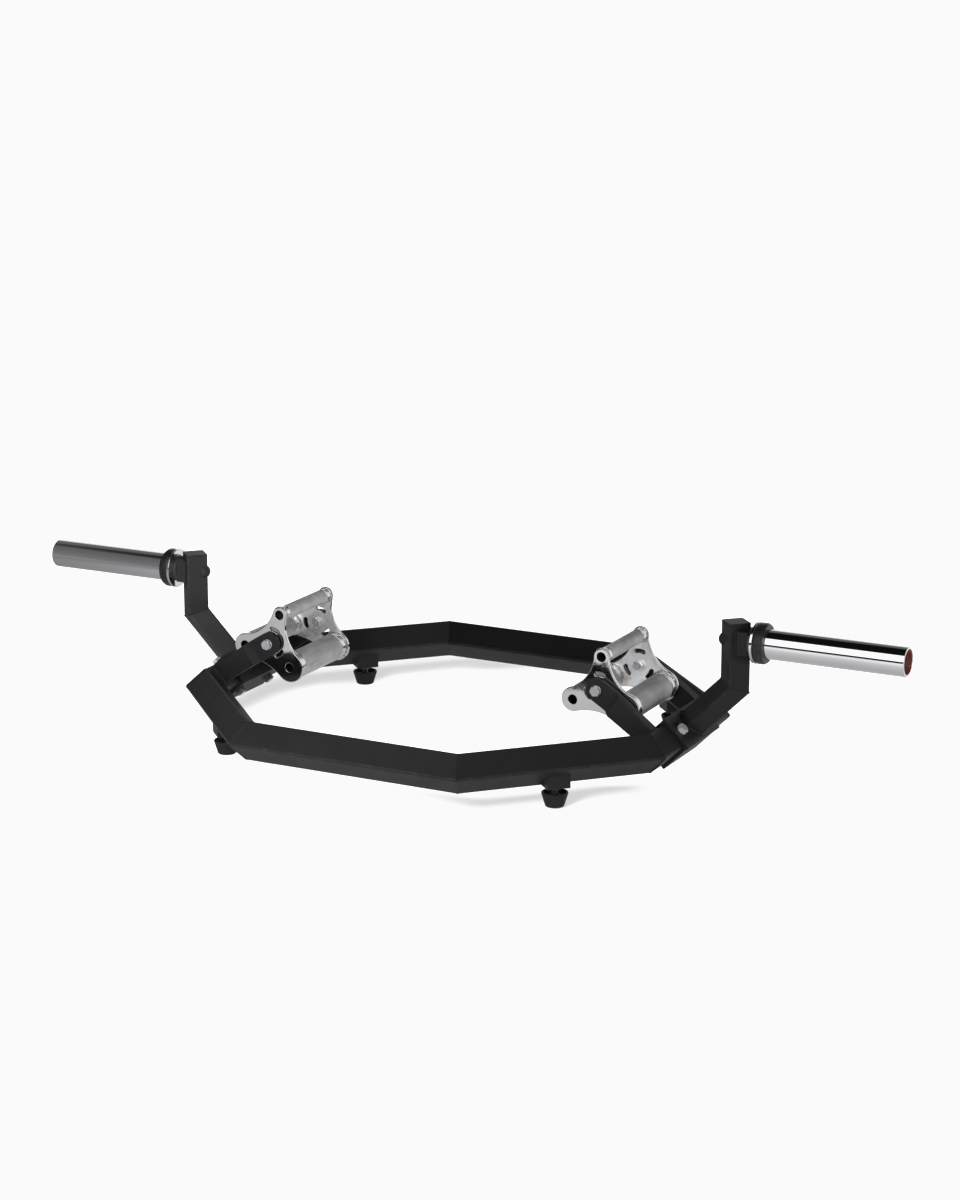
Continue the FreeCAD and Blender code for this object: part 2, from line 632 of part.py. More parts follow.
def cassette_plate(name, theta, y_sign):
    """Three lobes of three sizes joined by hollow sides, with a hole in each lobe, a pivot hole and three arc slots."""
    body = new_body(name)
    sk = new_sketch(body, "XZ_Plane", -y_sign * (D["plate_inside"] if y_sign < 0 else plate_out))
    lobes = [D["thin_lobe"], D["medium_lobe"], D["thick_lobe"]]
    angles = [theta, theta + 120, theta + 240]
    centres = [(D["lobe_circle"] * cos_of(a), D["lobe_circle"] * sin_of(a)) for a in angles]
    cv = [(c[0].value, c[1].value) for c in centres]
    waists = [D["plate_waist"], D["plate_waist_wide"], D["plate_waist"]]
    hollows = []
    for i in range(3):
        j = (i + 1) % 3
        hollows.append(tangent_centre(cv[i], lobes[i].value + waists[i].value, cv[j], lobes[j].value + waists[i].value))
    # lobe arcs run anticlockwise from the hollow before to the hollow after
    lobe_geo, hollow_geo = [], []
    for i in range(3):
        before, after = hollows[(i - 1) % 3], hollows[i]
        lobe_geo.append(sk.addGeometry(arc_between(cv[i], lobes[i].value, angle_of(cv[i], before), angle_of(cv[i], after)), False))
    for i in range(3):
        j = (i + 1) % 3
        # the hollow is drawn from the next lobe back to this one
        hollow_geo.append(sk.addGeometry(arc_between(hollows[i], waists[i].value, angle_of(hollows[i], cv[j]), angle_of(hollows[i], cv[i])), False))
    for i in range(3):
        pin_point(sk, lobe_geo[i], 3, centres[i][0], centres[i][1])
        for g, r in ((lobe_geo[i], lobes[i]), (hollow_geo[i], waists[i])):
            c = sk.addConstraint(Sketcher.Constraint("Radius", g, r.value))
            sk.setExpression("Constraints[%d]" % c, r.text)
    for i in range(3):
        j = (i + 1) % 3
        sk.addConstraint(Sketcher.Constraint("Tangent", lobe_geo[i], 2, hollow_geo[i], 2))
        sk.addConstraint(Sketcher.Constraint("Tangent", lobe_geo[j], 1, hollow_geo[i], 1))
    for i in range(3):
        circle(sk, centres[i][0], centres[i][1], D["lobe_hole_dia"] / 2)
    circle(sk, 0, 0, D["pivot_bush_dia"] / 2)
    pad(body, sk, D["plate_thick"])

    # one arc slot on the first lobe's line, repeated round the pivot
    sk = new_sketch(body, "XZ_Plane")
    rs, hw = D["slot_circle"], D["slot_width"] / 2
    ta, tb = theta - D["slot_half_angle"], theta + D["slot_half_angle"]
    ra, rb = math.radians(ta.value), math.radians(tb.value)
    inner = sk.addGeometry(arc_between((0, 0), rs.value - hw.value, ra, rb), False)
    outer = sk.addGeometry(arc_between((0, 0), rs.value + hw.value, ra, rb), False)
    ends = []
    for ang, flip in ((ra, math.pi), (rb, 0.0)):
        c = (rs.value * math.cos(ang), rs.value * math.sin(ang))
        ends.append(sk.addGeometry(arc_between(c, hw.value, ang + flip, ang + flip + math.pi), False))
    for g, r in ((inner, rs - hw), (outer, rs + hw)):
        sk.addConstraint(Sketcher.Constraint("Coincident", g, 3, -1, 1))
        c = sk.addConstraint(Sketcher.Constraint("Radius", g, r.value))
        sk.setExpression("Constraints[%d]" % c, r.text)
    sk.addConstraint(Sketcher.Constraint("Tangent", inner, 1, ends[0], 1))
    sk.addConstraint(Sketcher.Constraint("Tangent", outer, 1, ends[0], 2))
    sk.addConstraint(Sketcher.Constraint("Tangent", outer, 2, ends[1], 1))
    sk.addConstraint(Sketcher.Constraint("Tangent", inner, 2, ends[1], 2))
    for g, t in ((ends[0], ta), (ends[1], tb)):
        x, y = rs * cos_of(t), rs * sin_of(t)
        kind, s = ("DistanceX", x) if abs(y.value) > abs(x.value) else ("DistanceY", y)
        c = sk.addConstraint(Sketcher.Constraint(kind, -1, 1, g, 3, s.value))
        sk.setExpression("Constraints[%d]" % c, s.text)
    slot = pocket_through(body, sk)
    one = body.Shape.Volume
    ring = body.newObject("PartDesign::PolarPattern", name + "_slots")
    ring.Originals = [slot]
    ring.Axis = (sk, ["N_Axis"])
    ring.Angle = 360.0
    ring.Occurrences = 3
    body.Tip = ring
    doc.recompute()
    if not body.Shape.Volume < one - 1e-6:
        raise RuntimeError("slot pattern cut nothing in " + name)
    return body


for end, s in SIDES:
    theta = D[end + "_lobe_angle"]
    px = s * D["pivot_off"]
    for where, y_sign in (("front", -1), ("rear", 1)):
        label = "%s_%s_plate" % (end, where)
        keep(set_at(cassette_plate(label, theta, y_sign), px, 0, D["pivot_height"]), label)
    for i, kind in enumerate(("thin", "medium", "thick")):
        label = "%s_%s_grip" % (end, kind)
        a = theta + 120 * i
        grip = new_body(label)
        sk = new_sketch(grip, "XZ_Plane")
        r = D[kind + "_grip_dia"] / 2
        circle(sk, 0, 0, r)
        circle(sk, 0, 0, r - D["grip_wall"])
        pad(grip, sk, 2 * D["plate_inside"], symmetric=True)
        set_at(grip, px + D["lobe_circle"] * cos_of(a), 0, D["pivot_height"] + D["lobe_circle"] * sin_of(a))
        keep(grip, label)
    bushes = []
    for where, y_sign in (("front", -1), ("rear", 1)):
        bush = ring_disc("%s_%s_pivot_bush" % (end, where), D["pivot_bush_dia"], D["pivot_bush_bore"], D["plate_thick"])
        bushes.append(set_at(bush, px, y_sign * D["plate_inside"], D["pivot_height"],
                             Rotation(Vector(1, 0, 0), 90 if y_sign < 0 else -90)))
    group(end + "_pivot_bushes", bushes)

# ---------------------------------------------------------------- feet
brackets, feet, studs, nuts = [], [], [], []
low_ridge = D["ring_height"] - diag
for name, (x, y, degrees, minus, plus) in SLANTED.items():
    turn = Rotation(Vector(0, 0, 1), degrees)
    # stub notched to the two lower faces of the rail
    stub = new_body(name + "_foot_stub")
    sk = new_sketch(stub, "YZ_Plane")
    hs, z0 = D["foot_stub"] / 2, D["foot_stub_base"]
    polygon(sk, [(-hs, z0), (hs, z0), (hs, low_ridge + hs), (0, low_ridge), (-hs, low_ridge + hs)])
    pad(stub, sk, D["foot_stub"], symmetric=True)
    sk = new_sketch(stub, "XY_Plane")
    circle(sk, 0, 0, D["stud_dia"] / 2)
    pocket_through(stub, sk)
    brackets.append(set_at(stub, x, y, 0, turn))

    foot = new_body(name + "_rubber_foot")
    sk = new_sketch(foot, "XZ_Plane")
    rb, rt, ht = D["foot_base_dia"] / 2, D["foot_top_dia"] / 2, D["foot_tall"]
    st, deep = D["stud_dia"] / 2, D["foot_recess"]
    polygon(sk, [(0, 0), (rb - 1.5, 0), (rb, 1.5), (rt, ht - 2), (rt, ht), (rt - 3.5, ht), (rt - 4.5, ht - deep),
                 (st, ht - deep), (st, D["stud_from"]), (0, D["stud_from"])])
    revolve(foot, sk, "V_Axis")
    feet.append(set_at(foot, x, y, 0, turn))

    stud = new_body(name + "_foot_stud")
    sk = new_sketch(stud, "XY_Plane", D["stud_from"])
    circle(sk, 0, 0, D["stud_dia"] / 2)
    pad(stud, sk, low_ridge - 0.2 - D["stud_from"])
    studs.append(set_at(stud, x, y, 0, turn))

    nut = hex_nut(name + "_foot_nut", D["foot_nut_across"], D["foot_nut_thick"], D["stud_dia"] + 0.1)
    nuts.append(set_at(nut, x, y, D["foot_stub_base"] - D["foot_nut_thick"], turn))
group("foot_brackets", brackets)
group("rubber_feet", feet)
group("foot_studs", studs)
group("foot_nuts", nuts)

# ---------------------------------------------------------------- checks, then files
doc.recompute()
for obj in doc.Objects:
    if any(word in ("Invalid", "Error") for word in obj.State):
        raise RuntimeError("%s is %s" % (obj.Label, obj.State))
    if obj.TypeId == "Sketcher::SketchObject" and not obj.FullyConstrained:
        raise RuntimeError("%s is not fully constrained" % obj.Name)
for (sk_name, c), value in FULL.items():
    found = doc.getObject(sk_name).Constraints[c].Value
    if abs(found - value) > 1e-6:
        raise RuntimeError("%s constraint %d is %g, not %g" % (sk_name, c, found, value))
labels = [obj.Label for obj in NODES]
if len(set(labels)) != len(labels):
    raise RuntimeError("a node name is used twice")
for obj in NODES:
    shape = obj.Shape
    if shape.isNull() or not shape.isValid() or not shape.Solids or shape.Volume <= 0:
        raise RuntimeError(obj.Label + " has no valid solid")

os.makedirs("parts", exist_ok=True)
for obj in NODES:
    obj.Shape.exportStep("parts/%s.step" % obj.Label)
print(len(NODES), "nodes written")
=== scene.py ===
import json
import math

import bmesh
import bpy
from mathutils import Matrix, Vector
from mathutils.geometry import tessellate_polygon

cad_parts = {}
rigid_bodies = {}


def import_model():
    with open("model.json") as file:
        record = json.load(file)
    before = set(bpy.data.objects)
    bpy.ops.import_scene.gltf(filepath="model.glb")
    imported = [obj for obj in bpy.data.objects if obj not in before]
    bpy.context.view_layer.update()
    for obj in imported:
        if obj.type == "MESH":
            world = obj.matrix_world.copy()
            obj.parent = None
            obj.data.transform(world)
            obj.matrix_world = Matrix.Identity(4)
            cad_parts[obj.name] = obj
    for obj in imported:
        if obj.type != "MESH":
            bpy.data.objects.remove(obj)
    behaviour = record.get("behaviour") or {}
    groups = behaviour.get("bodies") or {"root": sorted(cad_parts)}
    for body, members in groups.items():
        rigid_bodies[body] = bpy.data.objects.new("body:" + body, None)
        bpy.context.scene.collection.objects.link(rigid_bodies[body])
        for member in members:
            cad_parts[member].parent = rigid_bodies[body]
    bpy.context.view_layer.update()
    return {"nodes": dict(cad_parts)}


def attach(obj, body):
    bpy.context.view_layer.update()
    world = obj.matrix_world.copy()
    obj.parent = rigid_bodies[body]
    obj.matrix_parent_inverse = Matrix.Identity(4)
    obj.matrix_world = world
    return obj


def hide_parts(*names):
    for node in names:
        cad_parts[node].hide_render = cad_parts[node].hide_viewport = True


# Hex trap bar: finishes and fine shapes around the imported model. Metres, +Z up.
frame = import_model()
CAD = frame["nodes"]

R2 = math.sqrt(0.5)
T8 = math.tan(math.radians(22.5))
TAU = 2 * math.pi
SIDES = (("right", 1), ("left", -1))

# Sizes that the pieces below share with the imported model, in metres
FRONT_HALF, FRONT_OFF, END_OFF, END_HALF, RING_Z = 0.1974, 0.3628, 0.4286, 0.1241, 0.0733
REACH, TUBE_ROUND = 0.05 * R2, 0.0045
SADDLE_FACE, BOLT_Y = 0.031, 0.047
RISER, RISER_ROUND, RISER_X, RISER_TOP = 0.038 * R2, 0.0036, 0.5255, 0.2804
LEAN_OUT = RISER_X - END_OFF
BEND_Z = RING_Z + LEAN_OUT
BLOCK, BLOCK_END = 0.020, 0.5536
SLEEVE_Z, SLEEVE_FROM, SLEEVE_TO, FLANGE_TO, COLLAR_TO = 0.2481, 0.561, 0.8225, 0.566, 0.5828
FLANGE_R, COLLAR_R = 0.035, 0.0345
ARM_IN, ARM_OUT, TAB_OUT = 0.0855, 0.1055, 0.0955
PLATE_IN, PLATE_OUT = 0.078, 0.084
LOBE_AT, LOBE_R = 0.0548, (0.0135, 0.021, 0.0268)
WAIST = (0.068, 0.094, 0.068)
THETA = {"right": 87.0, "left": 71.6}
FOOT_TOP, FOOT_BASE, FOOT_TALL, STUB_BASE = 0.022, 0.0155, 0.0255, 0.0355


# ---------------------------------------------------------------- node helpers
class Tree:
    """A node tree with short ways to add and join its nodes."""

    def __init__(self, tree):
        self.t = tree

    def add(self, kind, **props):
        n = self.t.nodes.new(kind)
        for k, v in props.items():
            setattr(n, k, v)
        return n

    def put(self, socket, value):
        if isinstance(value, bpy.types.NodeSocket):
            self.t.links.new(value, socket)
        else:
            socket.default_value = value

    def math(self, op, a, b=None, c=None, clamp=False):
        n = self.add("ShaderNodeMath", operation=op, use_clamp=clamp)
        for i, v in enumerate((a, b, c)):
            if v is not None:
                self.put(n.inputs[i], v)
        return n.outputs[0]

    def span(self, value, f0, f1, t0, t1, smooth=False):
        n = self.add("ShaderNodeMapRange", interpolation_type="SMOOTHSTEP" if smooth else "LINEAR")
        for i, v in enumerate((value, f0, f1, t0, t1)):
            self.put(n.inputs[i], v)
        return n.outputs[0]

    def mix(self, fac, a, b):
        n = self.add("ShaderNodeMix", data_type="RGBA")
        self.put(n.inputs[0], fac)
        self.put(n.inputs[6], a)
        self.put(n.inputs[7], b)
        return n.outputs[2]


class Finish(Tree):
    """A procedural material."""

    def __init__(self, name, **sockets):
        self.mat = bpy.data.materials.new(name)
        self.mat.use_nodes = True
        super().__init__(self.mat.node_tree)
        self.p = self.t.nodes["Principled BSDF"]
        self.co = self.add("ShaderNodeTexCoord").outputs["Object"]
        for k, v in sockets.items():
            self.p.inputs[k.replace("_", " ")].default_value = v

    def stretched(self, x, y, z):
        n = self.add("ShaderNodeMapping")
        n.inputs["Scale"].default_value = (x, y, z)
        self.t.links.new(self.co, n.inputs["Vector"])
        return n.outputs[0]

    def noise(self, scale, detail=3.0, rough=0.5, co=None, distortion=0.0):
        n = self.add("ShaderNodeTexNoise")
        n.inputs["Scale"].default_value = scale
        n.inputs["Detail"].default_value = detail
        n.inputs["Roughness"].default_value = rough
        n.inputs["Distortion"].default_value = distortion
        self.t.links.new(co or self.co, n.inputs["Vector"])
        return n.outputs[0]

    def cells(self, scale, co=None):
        n = self.add("ShaderNodeTexVoronoi")
        n.inputs["Scale"].default_value = scale
        self.t.links.new(co or self.co, n.inputs["Vector"])
        return n.outputs["Distance"]

    def ramp(self, fac, *stops):
        n = self.add("ShaderNodeValToRGB")
        while len(n.color_ramp.elements) < len(stops):
            n.color_ramp.elements.new(0.5)
        for e, (at, colour) in zip(n.color_ramp.elements, stops):
            e.position = at
            e.color = (*colour, 1.0)
        self.t.links.new(fac, n.inputs[0])
        return n.outputs[0]

    def wear(self):
        return self.add("ShaderNodeAttribute", attribute_name="wear").outputs["Fac"]

    def bump(self, height, strength, distance, under=None):
        n = self.add("ShaderNodeBump")
        n.inputs["Strength"].default_value = strength
        n.inputs["Distance"].default_value = distance
        self.t.links.new(height, n.inputs["Height"])
        if under is not None:
            self.t.links.new(under, n.inputs["Normal"])
        return n.outputs[0]

    def done(self, colour, roughness, normal=None):
        self.put(self.p.inputs["Base Color"], colour)
        self.put(self.p.inputs["Roughness"], roughness)
        if normal is not None:
            self.put(self.p.inputs["Normal"], normal)
        return self.mat


# ---------------------------------------------------------------- finishes
def black_coat():
    """Baked powder coat: fine orange peel, slightly uneven gloss, rubbed a little on the edges."""
    m = Finish("black_coat", Specular_IOR_Level=0.16, Metallic=0.0)
    body = m.ramp(m.noise(11, 5, 0.6), (0.3, (0.0066, 0.0063, 0.0066)), (0.7, (0.0081, 0.0077, 0.0081)))
    rub = m.math("MULTIPLY", m.span(m.wear(), 0.35, 1.0, 0.0, 1.0), m.span(m.noise(95, 6, 0.65), 0.47, 0.66, 0.0, 0.3))
    colour = m.mix(rub, body, (0.022, 0.0215, 0.021, 1))
    rough = m.math("ADD", m.span(m.noise(26, 5, 0.6), 0.3, 0.7, 0.41, 0.49), m.span(m.noise(700, 2), 0.3, 0.7, -0.02, 0.02))
    peel = m.bump(m.noise(2100, 2), 0.16, 0.00012, m.bump(m.noise(620, 2), 0.22, 0.0003))
    return m.done(colour, rough, peel)


def plate_chrome():
    """Bright plating over a hand-polished plate: faint waves, hazy patches and hairlines."""
    m = Finish("plate_chrome", Metallic=1.0)
    tone = m.ramp(m.noise(16, 4, 0.6), (0.3, (0.67, 0.672, 0.68)), (0.7, (0.76, 0.76, 0.765)))
    dull = m.math("MULTIPLY", m.wear(), m.span(m.noise(160, 4), 0.45, 0.7, 0.0, 0.35))
    colour = m.mix(dull, tone, (0.6, 0.585, 0.56, 1))
    hair = m.noise(1.0, 3, 0.6, m.stretched(70, 900, 700))
    rough = m.math("ADD", m.span(m.noise(38, 6, 0.65), 0.3, 0.75, 0.045, 0.12), m.span(hair, 0.55, 0.75, 0.0, 0.05))
    wave = m.bump(m.noise(42, 2), 0.12, 0.0016, m.bump(m.noise(420, 2), 0.05, 0.0003))
    return m.done(colour, rough, wave)


def plate_satin():
    """Inner face of a plate: thinner, unpolished plating with patches of brown heat tint."""
    m = Finish("plate_satin", Metallic=0.86)
    tone = m.ramp(m.noise(26, 5, 0.6), (0.3, (0.80, 0.795, 0.805)), (0.7, (0.93, 0.93, 0.945)))
    heat = m.span(m.noise(34, 4, 0.6, m.stretched(1.0, 0.3, 1.3), 0.6), 0.5, 0.68, 0.0, 0.7)
    colour = m.mix(heat, tone, (0.60, 0.465, 0.35, 1))
    rough = m.span(m.noise(60, 6, 0.65), 0.3, 0.7, 0.24, 0.37)
    return m.done(colour, rough, m.bump(m.noise(90, 3), 0.14, 0.001, m.bump(m.noise(1200, 3), 0.08, 0.0003)))


def weld_chrome():
    """Plated weld bead, greyer than the flat plate, with dark and bright noise specks that are painted reflections."""
    m = Finish("weld_chrome", Metallic=1.0)
    colour = m.ramp(m.noise(260, 5, 0.65), (0.36, (0.20, 0.195, 0.19)), (0.5, (0.60, 0.598, 0.595)), (0.66, (0.84, 0.84, 0.845)))
    rough = m.span(m.noise(300, 4), 0.3, 0.7, 0.07, 0.2)
    return m.done(colour, rough, m.bump(m.noise(520, 3), 0.6, 0.0006))


def sleeve_chrome():
    """Turned and plated sleeve: faint rings round it and slide marks along it."""
    m = Finish("sleeve_chrome", Metallic=1.0)
    tone = m.ramp(m.noise(7, 4, 0.6), (0.3, (0.795, 0.80, 0.825)), (0.7, (0.855, 0.858, 0.88)))
    slide = m.noise(1.0, 4, 0.65, m.stretched(7, 380, 380))
    colour = m.mix(m.span(slide, 0.6, 0.8, 0.0, 0.22), tone, (0.66, 0.655, 0.65, 1))
    rough = m.math("ADD", m.span(m.noise(24, 5, 0.6), 0.3, 0.7, 0.03, 0.06), m.span(slide, 0.55, 0.8, 0.0, 0.09))
    rings = m.bump(m.noise(1.0, 2, 0.5, m.stretched(1300, 9, 9)), 0.035, 0.0002)
    return m.done(colour, rough, rings)


def sleeve_inside():
    """Unplated bore of the sleeve: brown mill finish with rust-coloured patches."""
    m = Finish("sleeve_inside", Metallic=0.7)
    colour = m.ramp(m.noise(70, 6, 0.65), (0.25, (0.24, 0.062, 0.05)), (0.55, (0.42, 0.15, 0.125)), (0.8, (0.62, 0.34, 0.3)))
    rough = m.span(m.noise(130, 5, 0.6), 0.3, 0.7, 0.17, 0.33)
    return m.done(colour, rough, m.bump(m.noise(480, 4), 0.25, 0.0004))


def grip_steel():
    """Satin-plated knurl: bright on the points, grey in the cuts, with dull streaks along the grip."""
    m = Finish("grip_steel", Metallic=0.92)
    tone = m.ramp(m.noise(48, 6, 0.65), (0.3, (0.50, 0.50, 0.508)), (0.7, (0.70, 0.70, 0.71)))
    streak = m.span(m.noise(1.0, 5, 0.65, m.stretched(170, 13, 170), 0.4), 0.5, 0.68, 0.0, 0.6)
    tone = m.mix(streak, tone, (0.40, 0.40, 0.41, 1))
    colour = m.mix(m.span(m.wear(), 0.45, 1.0, 0.0, 0.5), tone, (0.74, 0.74, 0.745, 1))
    rough = m.span(m.noise(75, 5, 0.6), 0.3, 0.7, 0.42, 0.56)
    return m.done(colour, rough, m.bump(m.noise(1300, 3), 0.18, 0.0003))


def grip_band():
    """Plain turned band at each end of a grip."""
    m = Finish("grip_band", Metallic=1.0)
    colour = m.ramp(m.noise(40, 5, 0.6), (0.3, (0.66, 0.66, 0.665)), (0.7, (0.78, 0.78, 0.785)))
    rough = m.span(m.noise(60, 5, 0.6), 0.3, 0.7, 0.16, 0.26)
    return m.done(colour, rough, m.bump(m.noise(1.0, 2, 0.5, m.stretched(12, 1500, 12)), 0.06, 0.0003))


def bore_scale_slot_shade():
    """Unplated inside of a grip tube: dark scale. The plates' slot walls take it too, as painted shade that makes the
    slots read dark.
    """
    m = Finish("bore_scale_slot_shade", Specular_IOR_Level=0.25, Metallic=0.0)
    colour = m.ramp(m.noise(90, 6, 0.65), (0.3, (0.012, 0.0105, 0.0095)), (0.7, (0.026, 0.021, 0.018)))
    rough = m.span(m.noise(150, 5, 0.6), 0.3, 0.7, 0.6, 0.8)
    return m.done(colour, rough, m.bump(m.noise(600, 4), 0.3, 0.0004))


def collar_black():
    """Moulded black ring: matt, faintly grained."""
    m = Finish("collar_black", Specular_IOR_Level=0.3, Metallic=0.0)
    colour = m.ramp(m.noise(60, 5, 0.6), (0.3, (0.0052, 0.0051, 0.0053)), (0.7, (0.0095, 0.0093, 0.0096)))
    rub = m.math("MULTIPLY", m.wear(), m.span(m.noise(140, 4), 0.45, 0.7, 0.0, 0.5))
    rough = m.span(m.noise(90, 5, 0.6), 0.3, 0.7, 0.26, 0.36)
    return m.done(m.mix(rub, colour, (0.045, 0.045, 0.045, 1)), rough, m.bump(m.noise(1600, 3), 0.3, 0.0003))


def foot_rubber():
    """Moulded rubber: soft sheen, a bloom of grey dust and a pebbled skin."""
    m = Finish("foot_rubber", Specular_IOR_Level=0.16, Metallic=0.0)
    skin = m.ramp(m.noise(120, 5, 0.6), (0.3, (0.005, 0.0049, 0.0049)), (0.72, (0.0085, 0.0083, 0.0082)))
    dust = m.math("MULTIPLY", m.wear(), m.span(m.noise(260, 5, 0.65), 0.46, 0.7, 0.0, 0.6))
    rough = m.span(m.noise(150, 5, 0.6), 0.3, 0.7, 0.5, 0.68)
    return m.done(m.mix(dust, skin, (0.03, 0.029, 0.0275, 1)), rough, m.bump(m.cells(1500), 0.22, 0.0003))


def zinc(name, low, high, edge, gloss=(0.2, 0.34)):
    """Blue-white zinc on fasteners, with a faint tumble texture. Paler and darker copies of it paint light and shade
    onto some fasteners.
    """
    m = Finish(name, Metallic=0.88)
    tone = m.ramp(m.noise(220, 5, 0.6), (0.3, low), (0.7, high))
    colour = m.mix(m.math("MULTIPLY", m.wear(), 0.35), tone, (*edge, 1))
    rough = m.span(m.noise(310, 5, 0.6), 0.3, 0.7, *gloss)
    return m.done(colour, rough, m.bump(m.noise(1900, 3), 0.22, 0.0002))


def bronze():
    """Oil-filled bronze bush."""
    m = Finish("bronze", Metallic=1.0)
    colour = m.ramp(m.noise(140, 6, 0.65), (0.3, (0.31, 0.17, 0.072)), (0.7, (0.47, 0.285, 0.135)))
    rough = m.span(m.noise(240, 5, 0.6), 0.3, 0.7, 0.28, 0.46)
    return m.done(colour, rough, m.bump(m.noise(1500, 3), 0.3, 0.0003))


def spring_steel():
    """Blackened spring steel."""
    m = Finish("spring_steel", Metallic=1.0)
    colour = m.ramp(m.noise(120, 5, 0.6), (0.3, (0.085, 0.088, 0.095)), (0.7, (0.16, 0.163, 0.17)))
    rough = m.span(m.noise(200, 5, 0.6), 0.3, 0.7, 0.28, 0.42)
    return m.done(colour, rough, m.bump(m.noise(1700, 3), 0.2, 0.0002))


def black_nylon():
    """Turned nylon washer."""
    m = Finish("black_nylon", Specular_IOR_Level=0.4, Metallic=0.0)
    colour = m.ramp(m.noise(90, 5, 0.6), (0.3, (0.015, 0.015, 0.016)), (0.7, (0.024, 0.024, 0.025)))
    rough = m.span(m.noise(160, 5, 0.6), 0.3, 0.7, 0.38, 0.52)
    return m.done(colour, rough, m.bump(m.noise(900, 3), 0.2, 0.0003))


COAT, CHROME, SATIN, WELD_CHROME = black_coat(), plate_chrome(), plate_satin(), weld_chrome()
SLEEVE, INSIDE = sleeve_chrome(), sleeve_inside()
GRIP, BAND, BORE_SCALE_SLOT_SHADE = grip_steel(), grip_band(), bore_scale_slot_shade()
COLLAR, RUBBER = collar_black(), foot_rubber()
ZINC = zinc("zinc", (0.66, 0.685, 0.72), (0.76, 0.78, 0.805), (0.88, 0.885, 0.895))
BRIGHT_ZINC = zinc("zinc_bright", (0.62, 0.645, 0.68), (0.74, 0.76, 0.785), (0.88, 0.885, 0.895), (0.07, 0.15))
# painted shade: a darker copy of the zinc for the pivot bolt heads
SHADED_HEAD_ZINC = zinc("zinc_shaded_pivot_heads", (0.44, 0.458, 0.475), (0.54, 0.555, 0.57), (0.86, 0.865, 0.875), (0.34, 0.46))
# painted highlight: a paler copy of the zinc that makes the saddle bolts read brighter
LIT_BOLT_ZINC = zinc("zinc_lit_bolt_heads", (0.78, 0.80, 0.825), (0.90, 0.91, 0.925), (0.94, 0.94, 0.945), (0.34, 0.46))
# painted shade: a darker copy of the zinc for the nuts and washers under the saddles
UNDER_SADDLE_SHADE_ZINC = zinc("zinc_shade_under_saddles", (0.10, 0.102, 0.107), (0.17, 0.174, 0.182), (0.36, 0.365, 0.38))
# painted shade: a near-black copy of the zinc for the studs and nuts in the gaps under the foot brackets
GAP_SHADE_ZINC = zinc("zinc_gap_shade", (0.045, 0.045, 0.047), (0.09, 0.09, 0.094), (0.22, 0.22, 0.23))
BRONZE, SPRING, NYLON = bronze(), spring_steel(), black_nylon()


# ---------------------------------------------------------------- mesh helpers
class Shape:
    """Points with a wear value each, and faces with a finish number each."""

    def __init__(self):
        self.v, self.w, self.n, self.f, self.m = [], [], [], [], []

    def point(self, p, wear=0.0, normal=None):
        self.v.append(tuple(p))
        self.w.append(wear)
        self.n.append(normal)
        return len(self.v) - 1

    def face(self, ids, m=0):
        self.f.append(tuple(ids))
        self.m.append(m)

    def bridge(self, a, b, m=0):
        """Faces between two closed rows of points, or between a row and a single point."""
        n = max(len(a), len(b))
        for k in range(n):
            j = (k + 1) % n
            if len(a) == 1:
                self.face((a[0], b[j], b[k]), m)
            elif len(b) == 1:
                self.face((a[k], a[j], b[0]), m)
            else:
                self.face((a[k], a[j], b[j], b[k]), m)


def settle(mesh, angle):
    mesh.polygons.foreach_set("use_smooth", [True] * len(mesh.polygons))
    mesh.set_sharp_from_angle(angle=math.radians(angle))
    mesh.update()


def place_piece(mesh, name, body, nodes, even=True):
    obj = bpy.data.objects.new(name, mesh)
    bpy.context.scene.collection.objects.link(obj)
    if even:
        mod = obj.modifiers.new("even_normals", "WEIGHTED_NORMAL")
        mod.keep_sharp = True
        mod.weight = 60
    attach(obj, body)
    if nodes:
        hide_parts(*nodes)
    return obj


def make(shape, name, body, mats, nodes=(), angle=32, even=True):
    mesh = bpy.data.meshes.new(name)
    mesh.from_pydata(shape.v, [], shape.f)
    for m in mats:
        mesh.materials.append(m)
    mesh.polygons.foreach_set("material_index", shape.m)
    mesh.attributes.new("wear", "FLOAT", "POINT").data.foreach_set("value", shape.w)
    bm = bmesh.new()
    bm.from_mesh(mesh)
    bmesh.ops.recalc_face_normals(bm, faces=bm.faces)
    bm.to_mesh(mesh)
    bm.free()
    own = all(n is not None for n in shape.n)
    settle(mesh, 179 if own else angle)
    if own:
        mesh.normals_split_custom_set_from_vertices([tuple(n) for n in shape.n])
    return place_piece(mesh, name, body, nodes, even and not own)


def from_cad(node, name, body, mats, width, steps=3, angle=24):
    """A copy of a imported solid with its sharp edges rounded."""
    bm = bmesh.new()
    bm.from_mesh(CAD[node].data)
    bmesh.ops.remove_doubles(bm, verts=bm.verts, dist=4e-6)
    bmesh.ops.dissolve_limit(bm, angle_limit=math.radians(1.0), verts=bm.verts, edges=bm.edges)
    sharp = [e for e in bm.edges if len(e.link_faces) == 2 and e.calc_face_angle(0.0) > math.radians(angle)]
    rounded = bmesh.ops.bevel(bm, geom=sharp, offset=width, offset_type="OFFSET", segments=steps, profile=0.5,
                              affect="EDGES", clamp_overlap=True)
    new = set(rounded["faces"])
    worn = [all(f in new for f in v.link_faces) for v in bm.verts]
    bmesh.ops.recalc_face_normals(bm, faces=bm.faces)
    for f in bm.faces:
        f.material_index = 0
    mesh = bpy.data.meshes.new(name)
    bm.to_mesh(mesh)
    bm.free()
    mesh.attributes.new("wear", "FLOAT", "POINT").data.foreach_set("value", [1.0 if x else 0.0 for x in worn])
    for m in mats:
        mesh.materials.append(m)
    settle(mesh, 38)
    return place_piece(mesh, name, body, [node])


